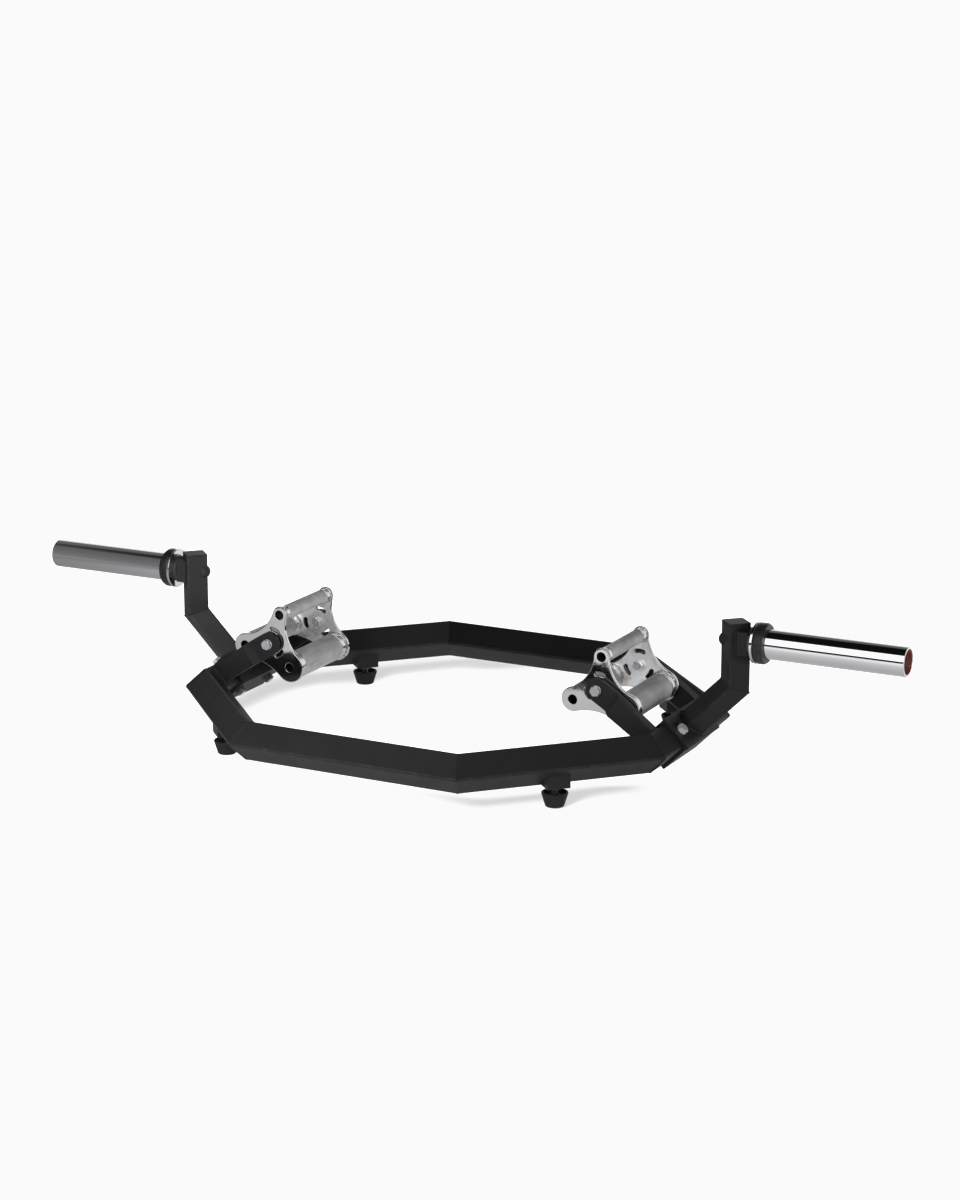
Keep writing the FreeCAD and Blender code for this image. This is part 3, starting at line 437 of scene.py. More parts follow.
def fillet(points, radii, steps=5):
    """An outline with its corners rounded, as (x, y, wear). A radius of 0 leaves a corner sharp."""
    out = []
    n = len(points)
    for i in range(n):
        p = Vector(points[i])
        r = radii[i] if isinstance(radii, (list, tuple)) else radii
        if r <= 0:
            out.append((p.x, p.y, 0.0))
            continue
        a = (Vector(points[i - 1]) - p).normalized()
        b = (Vector(points[(i + 1) % n]) - p).normalized()
        half = math.acos(max(-1.0, min(1.0, a.dot(b)))) / 2
        c = p + (a + b).normalized() * (r / math.sin(half))
        s = p + a * (r / math.tan(half)) - c
        e = p + b * (r / math.tan(half)) - c
        t0 = math.atan2(s.y, s.x)
        turn = (math.atan2(e.y, e.x) - t0 + math.pi) % TAU - math.pi
        for k in range(steps + 1):
            t = t0 + turn * k / steps
            out.append((c.x + r * math.cos(t), c.y + r * math.sin(t), 1.0 if 0 < k < steps else 0.0))
    return out


def lathe(shape, profile, segs, place, closed=True, mats=None):
    """Turns (along, radius, wear) points about an axis. place(along, u, v) gives a point in space."""
    rows = []
    for x, r, w in profile:
        if r < 1e-9:
            rows.append([shape.point(place(x, 0, 0), w)])
        else:
            rows.append([shape.point(place(x, r * math.cos(TAU * k / segs), r * math.sin(TAU * k / segs)), w) for k in range(segs)])
    count = len(rows)
    for i in range(count if closed else count - 1):
        if len(rows[i]) > 1 or len(rows[(i + 1) % count]) > 1:
            shape.bridge(rows[i], rows[(i + 1) % count], mats(profile[i], profile[(i + 1) % count]) if mats else 0)


def diamond(reach, r, steps=6):
    """Square on its corner, corners rounded."""
    return fillet([(reach, 0), (0, reach), (-reach, 0), (0, -reach)], r, steps)


def section_normals(sec):
    n = len(sec)
    out = []
    for i in range(n):
        t = Vector(sec[(i + 1) % n][:2]) - Vector(sec[i - 1][:2])
        out.append(Vector((t.y, -t.x)).normalized())
    return out


def prism(shape, sec, o, ea, eb, ec, low, high, m=0):
    """A section (a, b, wear) run along ec between the heights low(a) and high(a)."""
    rows = [[shape.point(o + ea * a + eb * b + ec * f(a), w) for a, b, w in sec] for f in (low, high)]
    shape.bridge(rows[0], rows[1], m)
    shape.face(rows[0][::-1], m)
    shape.face(rows[1], m)


def stack(shape, rows, m=0):
    """Closed solid through rows of points."""
    ids = [[shape.point(p, w) for p, w in row] for row in rows]
    for a, b in zip(ids[:-1], ids[1:]):
        shape.bridge(a, b, m)
    shape.face(ids[0][::-1], m)
    shape.face(ids[-1], m)


def spaced(path, normals, gap, closed):
    """The path walked at even steps, with its normals."""
    pts = [Vector(p) for p in path] + ([Vector(path[0])] if closed else [])
    nrm = [Vector(n) for n in normals] + ([Vector(normals[0])] if closed else [])
    run = [0.0]
    for a, b in zip(pts[:-1], pts[1:]):
        run.append(run[-1] + (b - a).length)
    count = max(3, round(run[-1] / gap))
    out, i = [], 0
    for k in range(count if closed else count + 1):
        at = run[-1] * k / count
        while i < len(run) - 2 and run[i + 1] < at:
            i += 1
        f = (at - run[i]) / max(1e-12, run[i + 1] - run[i])
        out.append((pts[i].lerp(pts[i + 1], f), nrm[i].lerp(nrm[i + 1], f).normalized(), at))
    return out


def bead(shape, path, normals, wide, high, closed=True, gap=0.0009, pitch=0.0034, sides=8, ripple=0.2, m=0, phase=0.0):
    """A rippled weld bead lying on a surface."""
    walk = spaced(path, normals, gap, closed)
    n = len(walk)
    rows = []
    for i, (p, nrm, at) in enumerate(walk):
        before, after = walk[i - 1 if closed else max(0, i - 1)][0], walk[(i + 1) % n if closed else min(n - 1, i + 1)][0]
        along = (after - before).normalized()
        up = (nrm - along * nrm.dot(along)).normalized()
        across = along.cross(up)
        f = (at / pitch + phase) % 1.0
        s = 1.0 - ripple * f * f + 0.05 * math.sin(at * 410.0 + phase * 9.0)
        if not closed and i in (0, n - 1):
            s *= 0.35
        rows.append([shape.point(p + across * (wide * s * math.cos(TAU * k / sides)) + up * (high * s * math.sin(TAU * k / sides)), 0.0)
                     for k in range(sides)])
    for i in range(n if closed else n - 1):
        shape.bridge(rows[i], rows[(i + 1) % n], m)
    if not closed:
        shape.face(rows[0][::-1], m)
        shape.face(rows[-1], m)


# ---------------------------------------------------------------- ring of square tube set on edge
RUN = Vector((END_OFF - FRONT_HALF, FRONT_OFF - END_HALF))
MID = Vector((END_OFF + FRONT_HALF, FRONT_OFF + END_HALF)) / 2
SLANT = RUN.length
MITRE_FRONT = (SLANT - RUN.x) / RUN.y
MITRE_END = (SLANT - RUN.y) / RUN.x
LEAN = math.degrees(math.atan2(RUN.y, RUN.x))
UP = Vector((0, 0, 1))
RAILS = {
    "front_rail": (FRONT_HALF, MITRE_FRONT, MITRE_FRONT, 0.0, -FRONT_OFF, 180.0),
    "rear_rail": (FRONT_HALF, MITRE_FRONT, MITRE_FRONT, 0.0, FRONT_OFF, 0.0),
    "front_right_rail": (SLANT / 2, MITRE_END, MITRE_FRONT, MID.x, -MID.y, 180 + LEAN),
    "front_left_rail": (SLANT / 2, MITRE_FRONT, MITRE_END, -MID.x, -MID.y, 180 - LEAN),
    "rear_right_rail": (SLANT / 2, MITRE_FRONT, MITRE_END, MID.x, MID.y, -LEAN),
    "rear_left_rail": (SLANT / 2, MITRE_END, MITRE_FRONT, -MID.x, MID.y, LEAN),
    "right_end_beam": (END_HALF, MITRE_END, MITRE_END, END_OFF, 0.0, -90.0),
    "left_end_beam": (END_HALF, MITRE_END, MITRE_END, -END_OFF, 0.0, 90.0),
}
TUBE = diamond(REACH, TUBE_ROUND, 8)
TUBE_OUT = section_normals(TUBE)
ring_welds = Shape()
for name, (half, minus, plus, x, y, degrees) in RAILS.items():
    ang = math.radians(degrees)
    ec, ea = Vector((math.cos(ang), math.sin(ang), 0)), Vector((-math.sin(ang), math.cos(ang), 0))
    o = Vector((x, y, RING_Z))
    s = Shape()
    prism(s, TUBE, o, ea, UP, ec, lambda a: -half - a * minus + 0.00012, lambda a: half + a * plus - 0.00012)
    make(s, name + "_tube", "frame", [COAT], [name])
    path = [o + ea * a + UP * b + ec * (half + a * plus) for a, b, _ in TUBE]
    bead(ring_welds, path, [ea * n.x + UP * n.y for n in TUBE_OUT], 0.0019, 0.0005, phase=len(ring_welds.v) * 0.37)
make(ring_welds, "ring_welds", "frame", [COAT], angle=60, even=False)

# ---------------------------------------------------------------- saddles, arms, blocks, foot brackets
for end, _ in SIDES:
    from_cad(end + "_upper_saddle", end + "_upper_angle", "frame", [COAT], 0.0011)
    from_cad(end + "_lower_saddle", end + "_lower_angle", "frame", [COAT], 0.0011)
    from_cad(end + "_mount_block", end + "_block", "frame", [COAT], 0.0012)
    for where in ("front", "rear"):
        from_cad("%s_%s_arm" % (where, end), "%s_%s_arm_bar" % (where, end), "frame", [COAT], 0.0012)
from_cad("foot_brackets", "foot_bracket_stubs", "frame", [COAT], 0.0011)

# ---------------------------------------------------------------- risers
riser_sec = diamond(RISER, RISER_ROUND, 8)
STRUT = LEAN_OUT * math.sqrt(2)
riser_out = section_normals(riser_sec)
welds = Shape()
for end, s in SIDES:
    ea, eb = Vector((s, 0, 0)), Vector((0, s, 0))
    o = Vector((s * RISER_X, 0, 0))
    post = Shape()
    prism(post, riser_sec, o, ea, eb, UP, lambda a: BEND_Z - a * T8 + 0.00012, lambda a: RISER_TOP - 0.0031)
    make(post, end + "_post_tube", "frame", [COAT], [end + "_riser_post"])

    so = Vector((s * END_OFF, 0, RING_Z))
    sa, sc = Vector((s * R2, 0, -R2)), Vector((s * R2, 0, R2))
    strut = Shape()
    prism(strut, riser_sec, so, sa, eb, sc, lambda a: SADDLE_FACE + 0.00005, lambda a: STRUT + a * T8 - 0.00012)
    make(strut, end + "_strut_tube", "frame", [COAT], [end + "_riser_strut"])

    cap = Shape()
    rows = []
    for drop, inset in ((0.0036, 0.0013), (0.0026, 0.0013), (0.00258, 0.0), (0.0011, 0.0), (0.00065, 0.00012), (0.00028, 0.00042), (0.0001, 0.0008), (0.0, 0.0013)):
        edge = 1.0 if 0.0001 < drop < 0.001 else 0.0
        rows.append([(o + ea * a + eb * b + UP * (RISER_TOP - drop), max(w * 0.5, edge))
                     for a, b, w in diamond(RISER - inset * math.sqrt(2), 0.0026, 8)])
    stack(cap, rows)
    make(cap, end + "_cap_plate", "frame", [COAT], [end + "_riser_cap"])

    # welds: mitre at the bend, strut foot on its saddle, block on the post
    bead(welds, [so + sa * a + eb * b + sc * (STRUT + a * T8) for a, b, _ in riser_sec],
         [sa * n.x + eb * n.y for n in riser_out], 0.0018, 0.0006, phase=0.3 * s)
    bead(welds, [so + sa * a * 1.03 + eb * b * 1.03 + sc * (SADDLE_FACE + 0.0003) for a, b, _ in riser_sec],
         [(sa * n.x + eb * n.y + sc).normalized() for n in riser_out], 0.0034, 0.0022, phase=0.6 * s)
    for side in (-1, 1):
        corner = Vector((s * (RISER_X + RISER - BLOCK), side * BLOCK, 0))
        out = Vector((-s * 0.3, side, 0)).normalized()
        bead(welds, [corner + UP * z for z in (SLEEVE_Z - BLOCK + 0.0016, SLEEVE_Z + BLOCK - 0.0016)], [out, out], 0.0021, 0.0019, closed=False, phase=0.2 * side)
        for z, up in ((SLEEVE_Z + BLOCK, 1), (SLEEVE_Z - BLOCK, -1)):
            ridge = Vector((s * (RISER_X + RISER + 0.0004), 0, z))
            n = Vector((0, 0, up))
            bead(welds, [corner + UP * z, ridge], [n, n], 0.0019, 0.0014, closed=False, phase=0.5 * side)

# arm feet on the beams' upper inner faces
for end, s in SIDES:
    for where in (-1, 1):
        def on_beam(part, y):
            return Vector((s * (END_OFF - REACH * (1 - part)), where * y, RING_Z + REACH * part))

        out = Vector((-s * R2, 0, R2))
        far, near = Vector((0, where, 0)), Vector((0, -where, 0))
        loop = [on_beam(p, y) for p, y in ((0.2, ARM_IN + 0.0005), (0.2, ARM_OUT - 0.0005), (0.86, ARM_OUT - 0.0005), (0.86, ARM_IN + 0.0005))]
        walk, nrm = [], []
        for i in range(4):
            a, b = loop[i], loop[(i + 1) % 4]
            push = (Vector((-s, 0, -1)), far, Vector((s, 0, 1)), near)[i].normalized()
            for k in range(6):
                walk.append(a.lerp(b, 0.04 + 0.92 * k / 5) + push * 0.0004)
                nrm.append((out + push * 0.6).normalized())
        bead(welds, walk, nrm, 0.0030, 0.0026, phase=0.15 * where + 0.4 * s, ripple=0.26)

# foot brackets under the slanted rails
for name, (half, minus, plus, x, y, degrees) in RAILS.items():
    if "_right_rail" not in name and "_left_rail" not in name:
        continue
    ang = math.radians(degrees)
    ec, ea = Vector((math.cos(ang), math.sin(ang), 0)), Vector((-math.sin(ang), math.cos(ang), 0))
    o = Vector((x, y, RING_Z - REACH))
    loop, nrm = [], []
    for k in range(25):
        a = -0.0198 + 0.0396 * k / 24
        loop.append(o + ec * 0.0201 + ea * a + UP * (abs(a) + (0.0002 if abs(a) > 0.002 else 0.0004)))
        nrm.append((ec * 0.8 - UP + ea * (0.5 if a > 0 else -0.5)).normalized())
    bead(welds, loop, nrm, 0.0022, 0.0019, closed=False, phase=0.1)
    loop = [p - ec * 0.0402 for p in loop]
    nrm = [n - ec * (2 * n.dot(ec)) for n in nrm]
    bead(welds, loop, nrm, 0.0022, 0.0019, closed=False, phase=0.7)
    for side in (-1, 1):
        n = (ea * side - UP * 0.6).normalized()
        edge = [o + ea * (side * 0.0201) + ec * t + UP * 0.0202 for t in (-0.0198, 0.0198)]
        bead(welds, edge, [n, n], 0.0022, 0.0019, closed=False, phase=0.4 * side)
make(welds, "bracket_welds", "frame", [COAT], angle=60, even=False)


# ---------------------------------------------------------------- axles, sleeves, collars
def on_axle(s):
    return lambda x, u, v: Vector((s * x, s * u, SLEEVE_Z + v))


thrust = Shape()
for end, s in SIDES:
    at = on_axle(s)
    axle = Shape()
    tip, curve = RISER_X - RISER - 0.0027, 0.0112
    dome = [(tip, 0.0, 0.0)]
    for k in range(13):
        t = math.radians(7.5 * k)
        dome.append((tip + curve - curve * math.cos(t), 0.0008 + curve * math.sin(t), 0.3 if 2 < k < 9 else 0.0))
    g0 = SLEEVE_TO - 0.0317
    bar = [(g0, 0.012, 0), (g0, 0.01125, 0), (g0 + 0.002, 0.01125, 0), (g0 + 0.002, 0.012, 0), (0.798, 0.012, 0),
           (0.79855, 0.01175, 1), (0.799, 0.0111, 0), (0.799, 0.0, 0)]
    lathe(axle, dome + bar, 72, at, closed=False)
    make(axle, end + "_axle_bar", "frame", [COAT], [end + "_axle"])

    t1 = SLEEVE_FROM - 0.0003
    lathe(thrust, fillet([(BLOCK_END, 0.012), (t1, 0.012), (t1, 0.023), (BLOCK_END, 0.023)], 0.0004, 3), 72, at)

    tube = Shape()
    outline = fillet([(SLEEVE_FROM, 0.021), (SLEEVE_FROM, 0.0247), (COLLAR_TO, 0.0247), (COLLAR_TO, 0.025), (SLEEVE_TO, 0.025), (SLEEVE_TO, 0.021)],
                     [0, 0.0003, 0, 0, 0.0011, 0.0006], 5)
    bore = [(SLEEVE_TO - 0.0065 - 0.0195 * k, 0.021, 0) for k in range(13)]
    lathe(tube, outline + bore, 144, at,
          mats=lambda a, b: 1 if a[1] < 0.02101 and b[1] < 0.02101 and max(a[0], b[0]) < SLEEVE_TO - 0.00055 else 0)
    make(tube, end + "_sleeve_shell", end + "_sleeve", [SLEEVE, INSIDE], [end + "_sleeve_tube"])

    flange = Shape()
    f0 = SLEEVE_FROM
    lathe(flange, fillet([(f0, 0.0247), (f0, FLANGE_R), (FLANGE_TO, FLANGE_R), (FLANGE_TO, 0.0247)], [0, 0.0011, 0.0011, 0], 6), 144, at)
    make(flange, end + "_flange_disc", end + "_sleeve", [CHROME], [end + "_sleeve_flange"])

    collar = Shape()
    lathe(collar, fillet([(FLANGE_TO, 0.0247), (FLANGE_TO, COLLAR_R - 0.0016), (FLANGE_TO + 0.0036, COLLAR_R), (COLLAR_TO - 0.0042, COLLAR_R),
                          (COLLAR_TO, COLLAR_R - 0.0024), (COLLAR_TO, 0.0253), (COLLAR_TO - 0.0006, 0.0247)],
                         [0, 0.0007, 0.0016, 0.0018, 0.0011, 0.0003, 0], 5), 144, at)
    make(collar, end + "_collar_band", end + "_sleeve", [COLLAR], [end + "_collar_ring"])
make(thrust, "thrust_washer_pair", "frame", [NYLON], ["thrust_washers"])

# ---------------------------------------------------------------- cassette plates
PIVOT = Vector((0.3174, 0.0, 0.1586))


def beside(c1, r1, c2, r2):
    """Centre of the circle that passes two circles at the distances r1 and r2, on the side away from the pivot."""
    d = c2 - c1
    a = (d.length_squared + r1 * r1 - r2 * r2) / (2 * d.length)
    h = math.sqrt(r1 * r1 - a * a)
    u = d.normalized()
    foot, side = c1 + u * a, Vector((-u.y, u.x)) * h
    return max((foot + side, foot - side), key=lambda p: p.length)


def heading(c, p):
    return math.atan2(p.y - c.y, p.x - c.x)


def plate_loops(theta):
    """Edge loops of a plate: each gives (point, outward normal) pairs when set back into the metal by d."""
    cs = [Vector((LOBE_AT * math.cos(math.radians(theta + 120 * i)), LOBE_AT * math.sin(math.radians(theta + 120 * i)))) for i in range(3)]
    hs = [beside(cs[i], LOBE_R[i] + WAIST[i], cs[(i + 1) % 3], LOBE_R[(i + 1) % 3] + WAIST[i]) for i in range(3)]

    def outer(d):
        out = []
        for i in range(3):
            t0, t1 = heading(cs[i], hs[i - 1]), heading(cs[i], hs[i])
            while t1 < t0:
                t1 += TAU
            for k in range(44):
                t = t0 + (t1 - t0) * k / 44
                n = Vector((math.cos(t), math.sin(t)))
                out.append((cs[i] + n * (LOBE_R[i] - d), n))
            t0, t1 = heading(hs[i], cs[i]), heading(hs[i], cs[(i + 1) % 3])
            while t1 > t0:
                t1 -= TAU
            for k in range(26):
                t = t0 + (t1 - t0) * k / 26
                n = Vector((math.cos(t), math.sin(t)))
                out.append((hs[i] + n * (WAIST[i] + d), -n))
        return out

    def hole(c, r, count):
        def loop(d):
            out = []
            for k in range(count):
                n = Vector((math.cos(TAU * k / count), math.sin(TAU * k / count)))
                out.append((c + n * (r + d), -n))
            return out
        return loop

    def slot(at):
        ta, tb, mid = math.radians(at - 15.0), math.radians(at + 15.0), 0.025
        def loop(d):
            out = []
            w = 0.0035 + d
            for k in range(12):
                t = ta + (tb - ta) * k / 12
                n = Vector((math.cos(t), math.sin(t)))
                out.append((n * (mid + w), -n))
            c = Vector((math.cos(tb), math.sin(tb))) * mid
            for k in range(12):
                t = tb + math.pi * k / 12
                n = Vector((math.cos(t), math.sin(t)))
                out.append((c + n * w, -n))
            for k in range(12):
                t = tb + (ta - tb) * k / 12
                n = Vector((math.cos(t), math.sin(t)))
                out.append((n * (mid - w), n))
            c = Vector((math.cos(ta), math.sin(ta))) * mid
            for k in range(12):
                t = ta + math.pi + math.pi * k / 12
                n = Vector((math.cos(t), math.sin(t)))
                out.append((c + n * w, -n))
            return out
        return loop

    loops = [(outer, 0.0014, 0)]
    loops += [(hole(c, 0.0082, 44), 0.0009, 0) for c in cs]
    loops += [(hole(Vector((0, 0)), 0.007, 44), 0.0005, 0)]
    # the slot walls take the third finish, the dark bore scale, as painted shade
    loops += [(slot(theta + 120 * i), 0.0012, 2) for i in range(3)]
    return cs, loops


def plate(shape, px, loops, y_low, y_high, inner, lie):
    """A plate with its inner face on side 0 or 1. lie(z) is how far the polish leans the other face."""
    steps = 5

    def put(q, y, wear, n):
        return shape.point((px + q.x, y, PIVOT.z + q.y), wear, n)

    faces = {0: [], 1: []}
    for loop, b, wall in loops:
        rows = []
        for side, y, sign in ((0, y_low, -1), (1, y_high, 1)):
            order = range(steps + 1) if side == 0 else range(steps, -1, -1)
            for k in order:
                t = math.pi / 2 * k / steps
                depth, back = b * (1 - math.cos(t)), b * (1 - math.sin(t))
                row = []
                for q, n in loop(back):
                    lean = lie(q.y) if side != inner else 0.0
                    nn = Vector((n.x * math.sin(t), sign * math.cos(t), n.y * math.sin(t) + lean * math.cos(t))).normalized()
                    row.append((put(q, y - sign * depth, 1.0 if 0 < k < steps else 0.0, nn), q))
                if k == 0:
                    faces[side].append(row)
                rows.append([i for i, _ in row])
        for i, (a, c) in enumerate(zip(rows[:-1], rows[1:])):
            shape.bridge(a, c, wall if i == steps else 0)
    for side in (0, 1):
        ids = [i for row in faces[side] for i, _ in row]
        for tri in tessellate_polygon([[Vector((q.x, q.y, 0)) for _, q in row] for row in faces[side]]):
            shape.face([ids[i] for i in tri], 1 if side == inner else 0)


# ---------------------------------------------------------------- knurled grips
def knurled(shape, r, cx, cz, cell=0.00125, depth=0.0004, half=PLATE_IN, band=0.0135):
    """Hollow grip along Y: plain bands at its ends, a relief cut, then a diamond knurl."""
    n = 2 * round(math.pi * r / cell)
    bore = r - 0.0035

    def row(y, radius, wear=0.0):
        out = []
        for i in range(n):
            t = TAU * i / n
            q = radius(i) if callable(radius) else radius
            w = wear(i) if callable(wear) else wear
            out.append(shape.point((cx + q * math.cos(t), y, cz + q * math.sin(t)), w))
        return out

    start = -half + band + 0.0022
    count = round(-2 * start / cell)
    step = -2 * start / count
    low = [row(-half, r - 0.0001), row(-half + 0.0124, r), row(-half + 0.0131, r - 0.0003), row(-half + 0.0136, r - 0.0009),
           row(-half + 0.0149, r - 0.0009), row(start - 0.0002, r - depth)]
    mid = []
    for j in range(count + 1):
        mid.append(row(start + step * j, lambda i: r - (0.0 if (i + j) % 2 == 0 else depth), lambda i: 1.0 if (i + j) % 2 == 0 else 0.0))
    high = [row(-start + 0.0002, r - depth), row(half - 0.0149, r - 0.0009), row(half - 0.0136, r - 0.0009), row(half - 0.0131, r - 0.0003),
            row(half - 0.0124, r), row(half, r - 0.0001)]
    inner = [row(half, bore), row(-half, bore)]
    for rows in (low, high):
        for a, b in zip(rows[:-1], rows[1:]):
            shape.bridge(a, b, 1)
    shape.bridge(low[-1], mid[0])
    shape.bridge(mid[-1], high[0])
    shape.bridge(high[-1], inner[0], 1)
    shape.bridge(inner[0], inner[1], 2)
    shape.bridge(inner[1], low[0], 1)
    for j in range(count):
        a, b = mid[j], mid[j + 1]
        for i in range(n):
            k = (i + 1) % n
            if (i + j) % 2 == 0:
                shape.face((a[i], a[k], b[i]))
                shape.face((a[k], b[k], b[i]))
            else:
                shape.face((a[i], a[k], b[k]))
                shape.face((a[i], b[k], b[i]))


for end, s in SIDES:
    body = end + "_cassette"
    px = s * PIVOT.x
    cs, loops = plate_loops(THETA[end])
    lie = (lambda z: -0.034 + 0.36 * z) if end == "right" else (lambda z: 0.0)
    for where, lo, hi, inner in (("front", -PLATE_OUT, -PLATE_IN, 1), ("rear", PLATE_IN, PLATE_OUT, 0)):
        p = Shape()
        plate(p, px, loops, lo, hi, inner, lie)
        make(p, "%s_%s_lobed_plate" % (end, where), body, [CHROME, SATIN, BORE_SCALE_SLOT_SHADE], ["%s_%s_plate" % (end, where)])
    beads = Shape()
    for i, (kind, r) in enumerate((("thin", 0.0125), ("medium", 0.019), ("thick", 0.024))):
        g = Shape()
        cx, cz = px + cs[i].x, PIVOT.z + cs[i].y
        knurled(g, r, cx, cz)
        make(g, "%s_%s_knurled_grip" % (end, kind), body, [GRIP, BAND, BORE_SCALE_SLOT_SHADE], ["%s_%s_grip" % (end, kind)], angle=20, even=False)
        for side in (-1, 1):
            path, nrm = [], []
            for k in range(48):
                t = TAU * k / 48
                u = Vector((math.cos(t), 0, math.sin(t)))
                path.append(Vector((cx, side * (PLATE_IN - 0.0001), cz)) + u * (r + 0.0002))
                nrm.append((u + Vector((0, -side, 0))).normalized())
            bead(beads, path, nrm, 0.0026, 0.0019, phase=0.3 * i + 0.5 * side, ripple=0.24, sides=10)
    make(beads, end + "_grip_welds", body, [WELD_CHROME], angle=60, even=False)


# ---------------------------------------------------------------- fasteners
def hexagon(shape, place, across, z0, z1, bore=0.0, turn=0.0, both=False, m=0):
    """Hex head or nut with its corners turned off at 30 degrees."""
    per, c = 6, math.tan(math.radians(30))
    top_r = across / 2 * 0.955
    n = 6 * per

    def ring(radius, z, wear):
        out = []
        for k in range(n):
            t = TAU * k / n
            out.append(shape.point(place(radius(k) * math.cos(t + turn), radius(k) * math.sin(t + turn), z(k)), wear(k)))
        return out

    def flat(k):
        t = (TAU * k / n) % (TAU / 6) - TAU / 12
        return across / 2 / math.cos(t)

    def fall(k):
        return max(0.0, flat(k) - top_r) * c

    edge = lambda k: 1.0 if k % per == 0 else 0.0
    none = lambda k: 0.0
    side_top = ring(flat, lambda k: z1 - fall(k), edge)
    side_low = ring(flat, lambda k: z0 + (fall(k) if both else 0.0), edge)
    shape.bridge(side_low, side_top, m)
    face_top = ring(lambda k: top_r, lambda k: z1, none)
    shape.bridge(side_top, face_top, m)
    last_low = side_low
    if both:
        last_low = ring(lambda k: top_r, lambda k: z0, none)
        shape.bridge(last_low, side_low, m)
    if bore:
        lip = [ring(lambda k: bore + 0.0006, lambda k: z1, none), ring(lambda k: bore, lambda k: z1 - 0.0006, none),
               ring(lambda k: bore, lambda k: z0 + 0.0006, none), ring(lambda k: bore + 0.0006, lambda k: z0, none)]
        for a, b in zip([face_top] + lip, lip + [last_low]):
            shape.bridge(a, b, m)
    else:
        dish = ring(lambda k: top_r * 0.72, lambda k: z1 - 0.00025, none)
        shape.bridge(face_top, dish, m)
        shape.face(dish, m)
        shape.face(last_low[::-1], m)


def threaded(shape, place, r, z0, z1, thread, pitch=0.00175):
    """Shank from z0 down to z1, threaded over its last part."""
    prof = [(z0, 0.0, 0), (z0, r, 0), (z1 + thread, r, 0)]
    z = z1 + thread
    while z - pitch > z1 + 0.001:
        prof += [(z - pitch * 0.5, r - 0.0007, 0), (z - pitch, r, 1.0)]
        z -= pitch
    prof += [(z1 + 0.0008, r - 0.0003, 0), (z1, r - 0.0011, 0), (z1, 0.0, 0)]
    lathe(shape, prof, 36, lambda a, u, v: place(u, v, a), closed=False)


def washer(shape, place, outer, bore, z0, z1, m=0):
    lathe(shape, fillet([(z0, bore), (z1, bore), (z1, outer), (z0, outer)], 0.00035, 3), 56, lambda a, u, v: place(u, v, a),
          mats=lambda a, b: m)


saddle_bolts, saddle_washers, saddle_nuts = Shape(), Shape(), Shape()
for e, (end, s) in enumerate(SIDES):
    for j, y in enumerate((-BOLT_Y, BOLT_Y)):
        o = Vector((s * END_OFF, y, RING_Z))
        ex, ez, ey = Vector((s * R2, 0, -R2)), Vector((s * R2, 0, R2)), Vector((0, s, 0))
        at = lambda x, v, z: o + ex * x + ey * v + ez * z
        turn = math.radians((14, 41, 5, 27)[2 * e + j])
        face = SADDLE_FACE + 0.002
        hexagon(saddle_bolts, at, 0.016, face, face + 0.0064, turn=turn)
        threaded(saddle_bolts, at, 0.005, face + 0.0003, -face - 0.008, 0.012, pitch=0.0015)
        washer(saddle_washers, at, 0.009, 0.0055, SADDLE_FACE, face)
        # the washer under the saddle takes the darker zinc copy, painted shade
        washer(saddle_washers, at, 0.009, 0.0055, -face, -SADDLE_FACE, 1)
        hexagon(saddle_nuts, at, 0.016, -face - 0.006, -face, bore=0.00505, turn=turn + 0.4, both=True)
# the saddle bolts take the paler zinc copy, a painted highlight
make(saddle_bolts, "saddle_hex_bolts", "frame", [LIT_BOLT_ZINC], ["saddle_bolts"], angle=22)
make(saddle_washers, "saddle_flat_washers", "frame", [ZINC, UNDER_SADDLE_SHADE_ZINC], ["saddle_washers"])
# the nuts under the saddles take the darker zinc copy, painted shade
make(saddle_nuts, "saddle_hex_nuts", "frame", [UNDER_SADDLE_SHADE_ZINC], ["saddle_nuts"], angle=22)

pivot_bolts, pivot_washers, pivot_nuts = Shape(), Shape(), Shape()
for e, (end, s) in enumerate(SIDES):
    for j, side in enumerate((-1, 1)):
        o = Vector((s * PIVOT.x, 0, PIVOT.z))
        ex, ey, ez = Vector((1, 0, 0)), Vector((0, 0, -side)), Vector((0, side, 0))
        at = lambda x, v, z: o + ex * x + ey * v + ez * z
        turn = math.radians((9, 33, 50, 21)[2 * e + j])
        head, inner = TAB_OUT + 0.002, PLATE_IN - 0.0018
        hexagon(pivot_bolts, at, 0.016, head, head + 0.0064, turn=turn)
        threaded(pivot_bolts, at, 0.005, head + 0.0003, inner - 0.008, 0.012, pitch=0.0015)
        washer(pivot_washers, at, 0.009, 0.0055, TAB_OUT, head)
        washer(pivot_washers, at, 0.009, 0.0055, PLATE_OUT + 0.0003, ARM_IN)
        washer(pivot_washers, at, 0.009, 0.0055, inner, inner + 0.0015)
        hexagon(pivot_nuts, at, 0.016, inner - 0.006, inner, bore=0.00505, turn=turn + 0.3, both=True)
# the pivot bolts take the darker zinc copy, painted shade
make(pivot_bolts, "pivot_hex_bolts", "frame", [SHADED_HEAD_ZINC], ["pivot_bolts"], angle=22)
make(pivot_washers, "pivot_flat_washers", "frame", [ZINC], ["pivot_washers"])
make(pivot_nuts, "pivot_hex_nuts", "frame", [BRIGHT_ZINC], ["pivot_nuts"], angle=22)

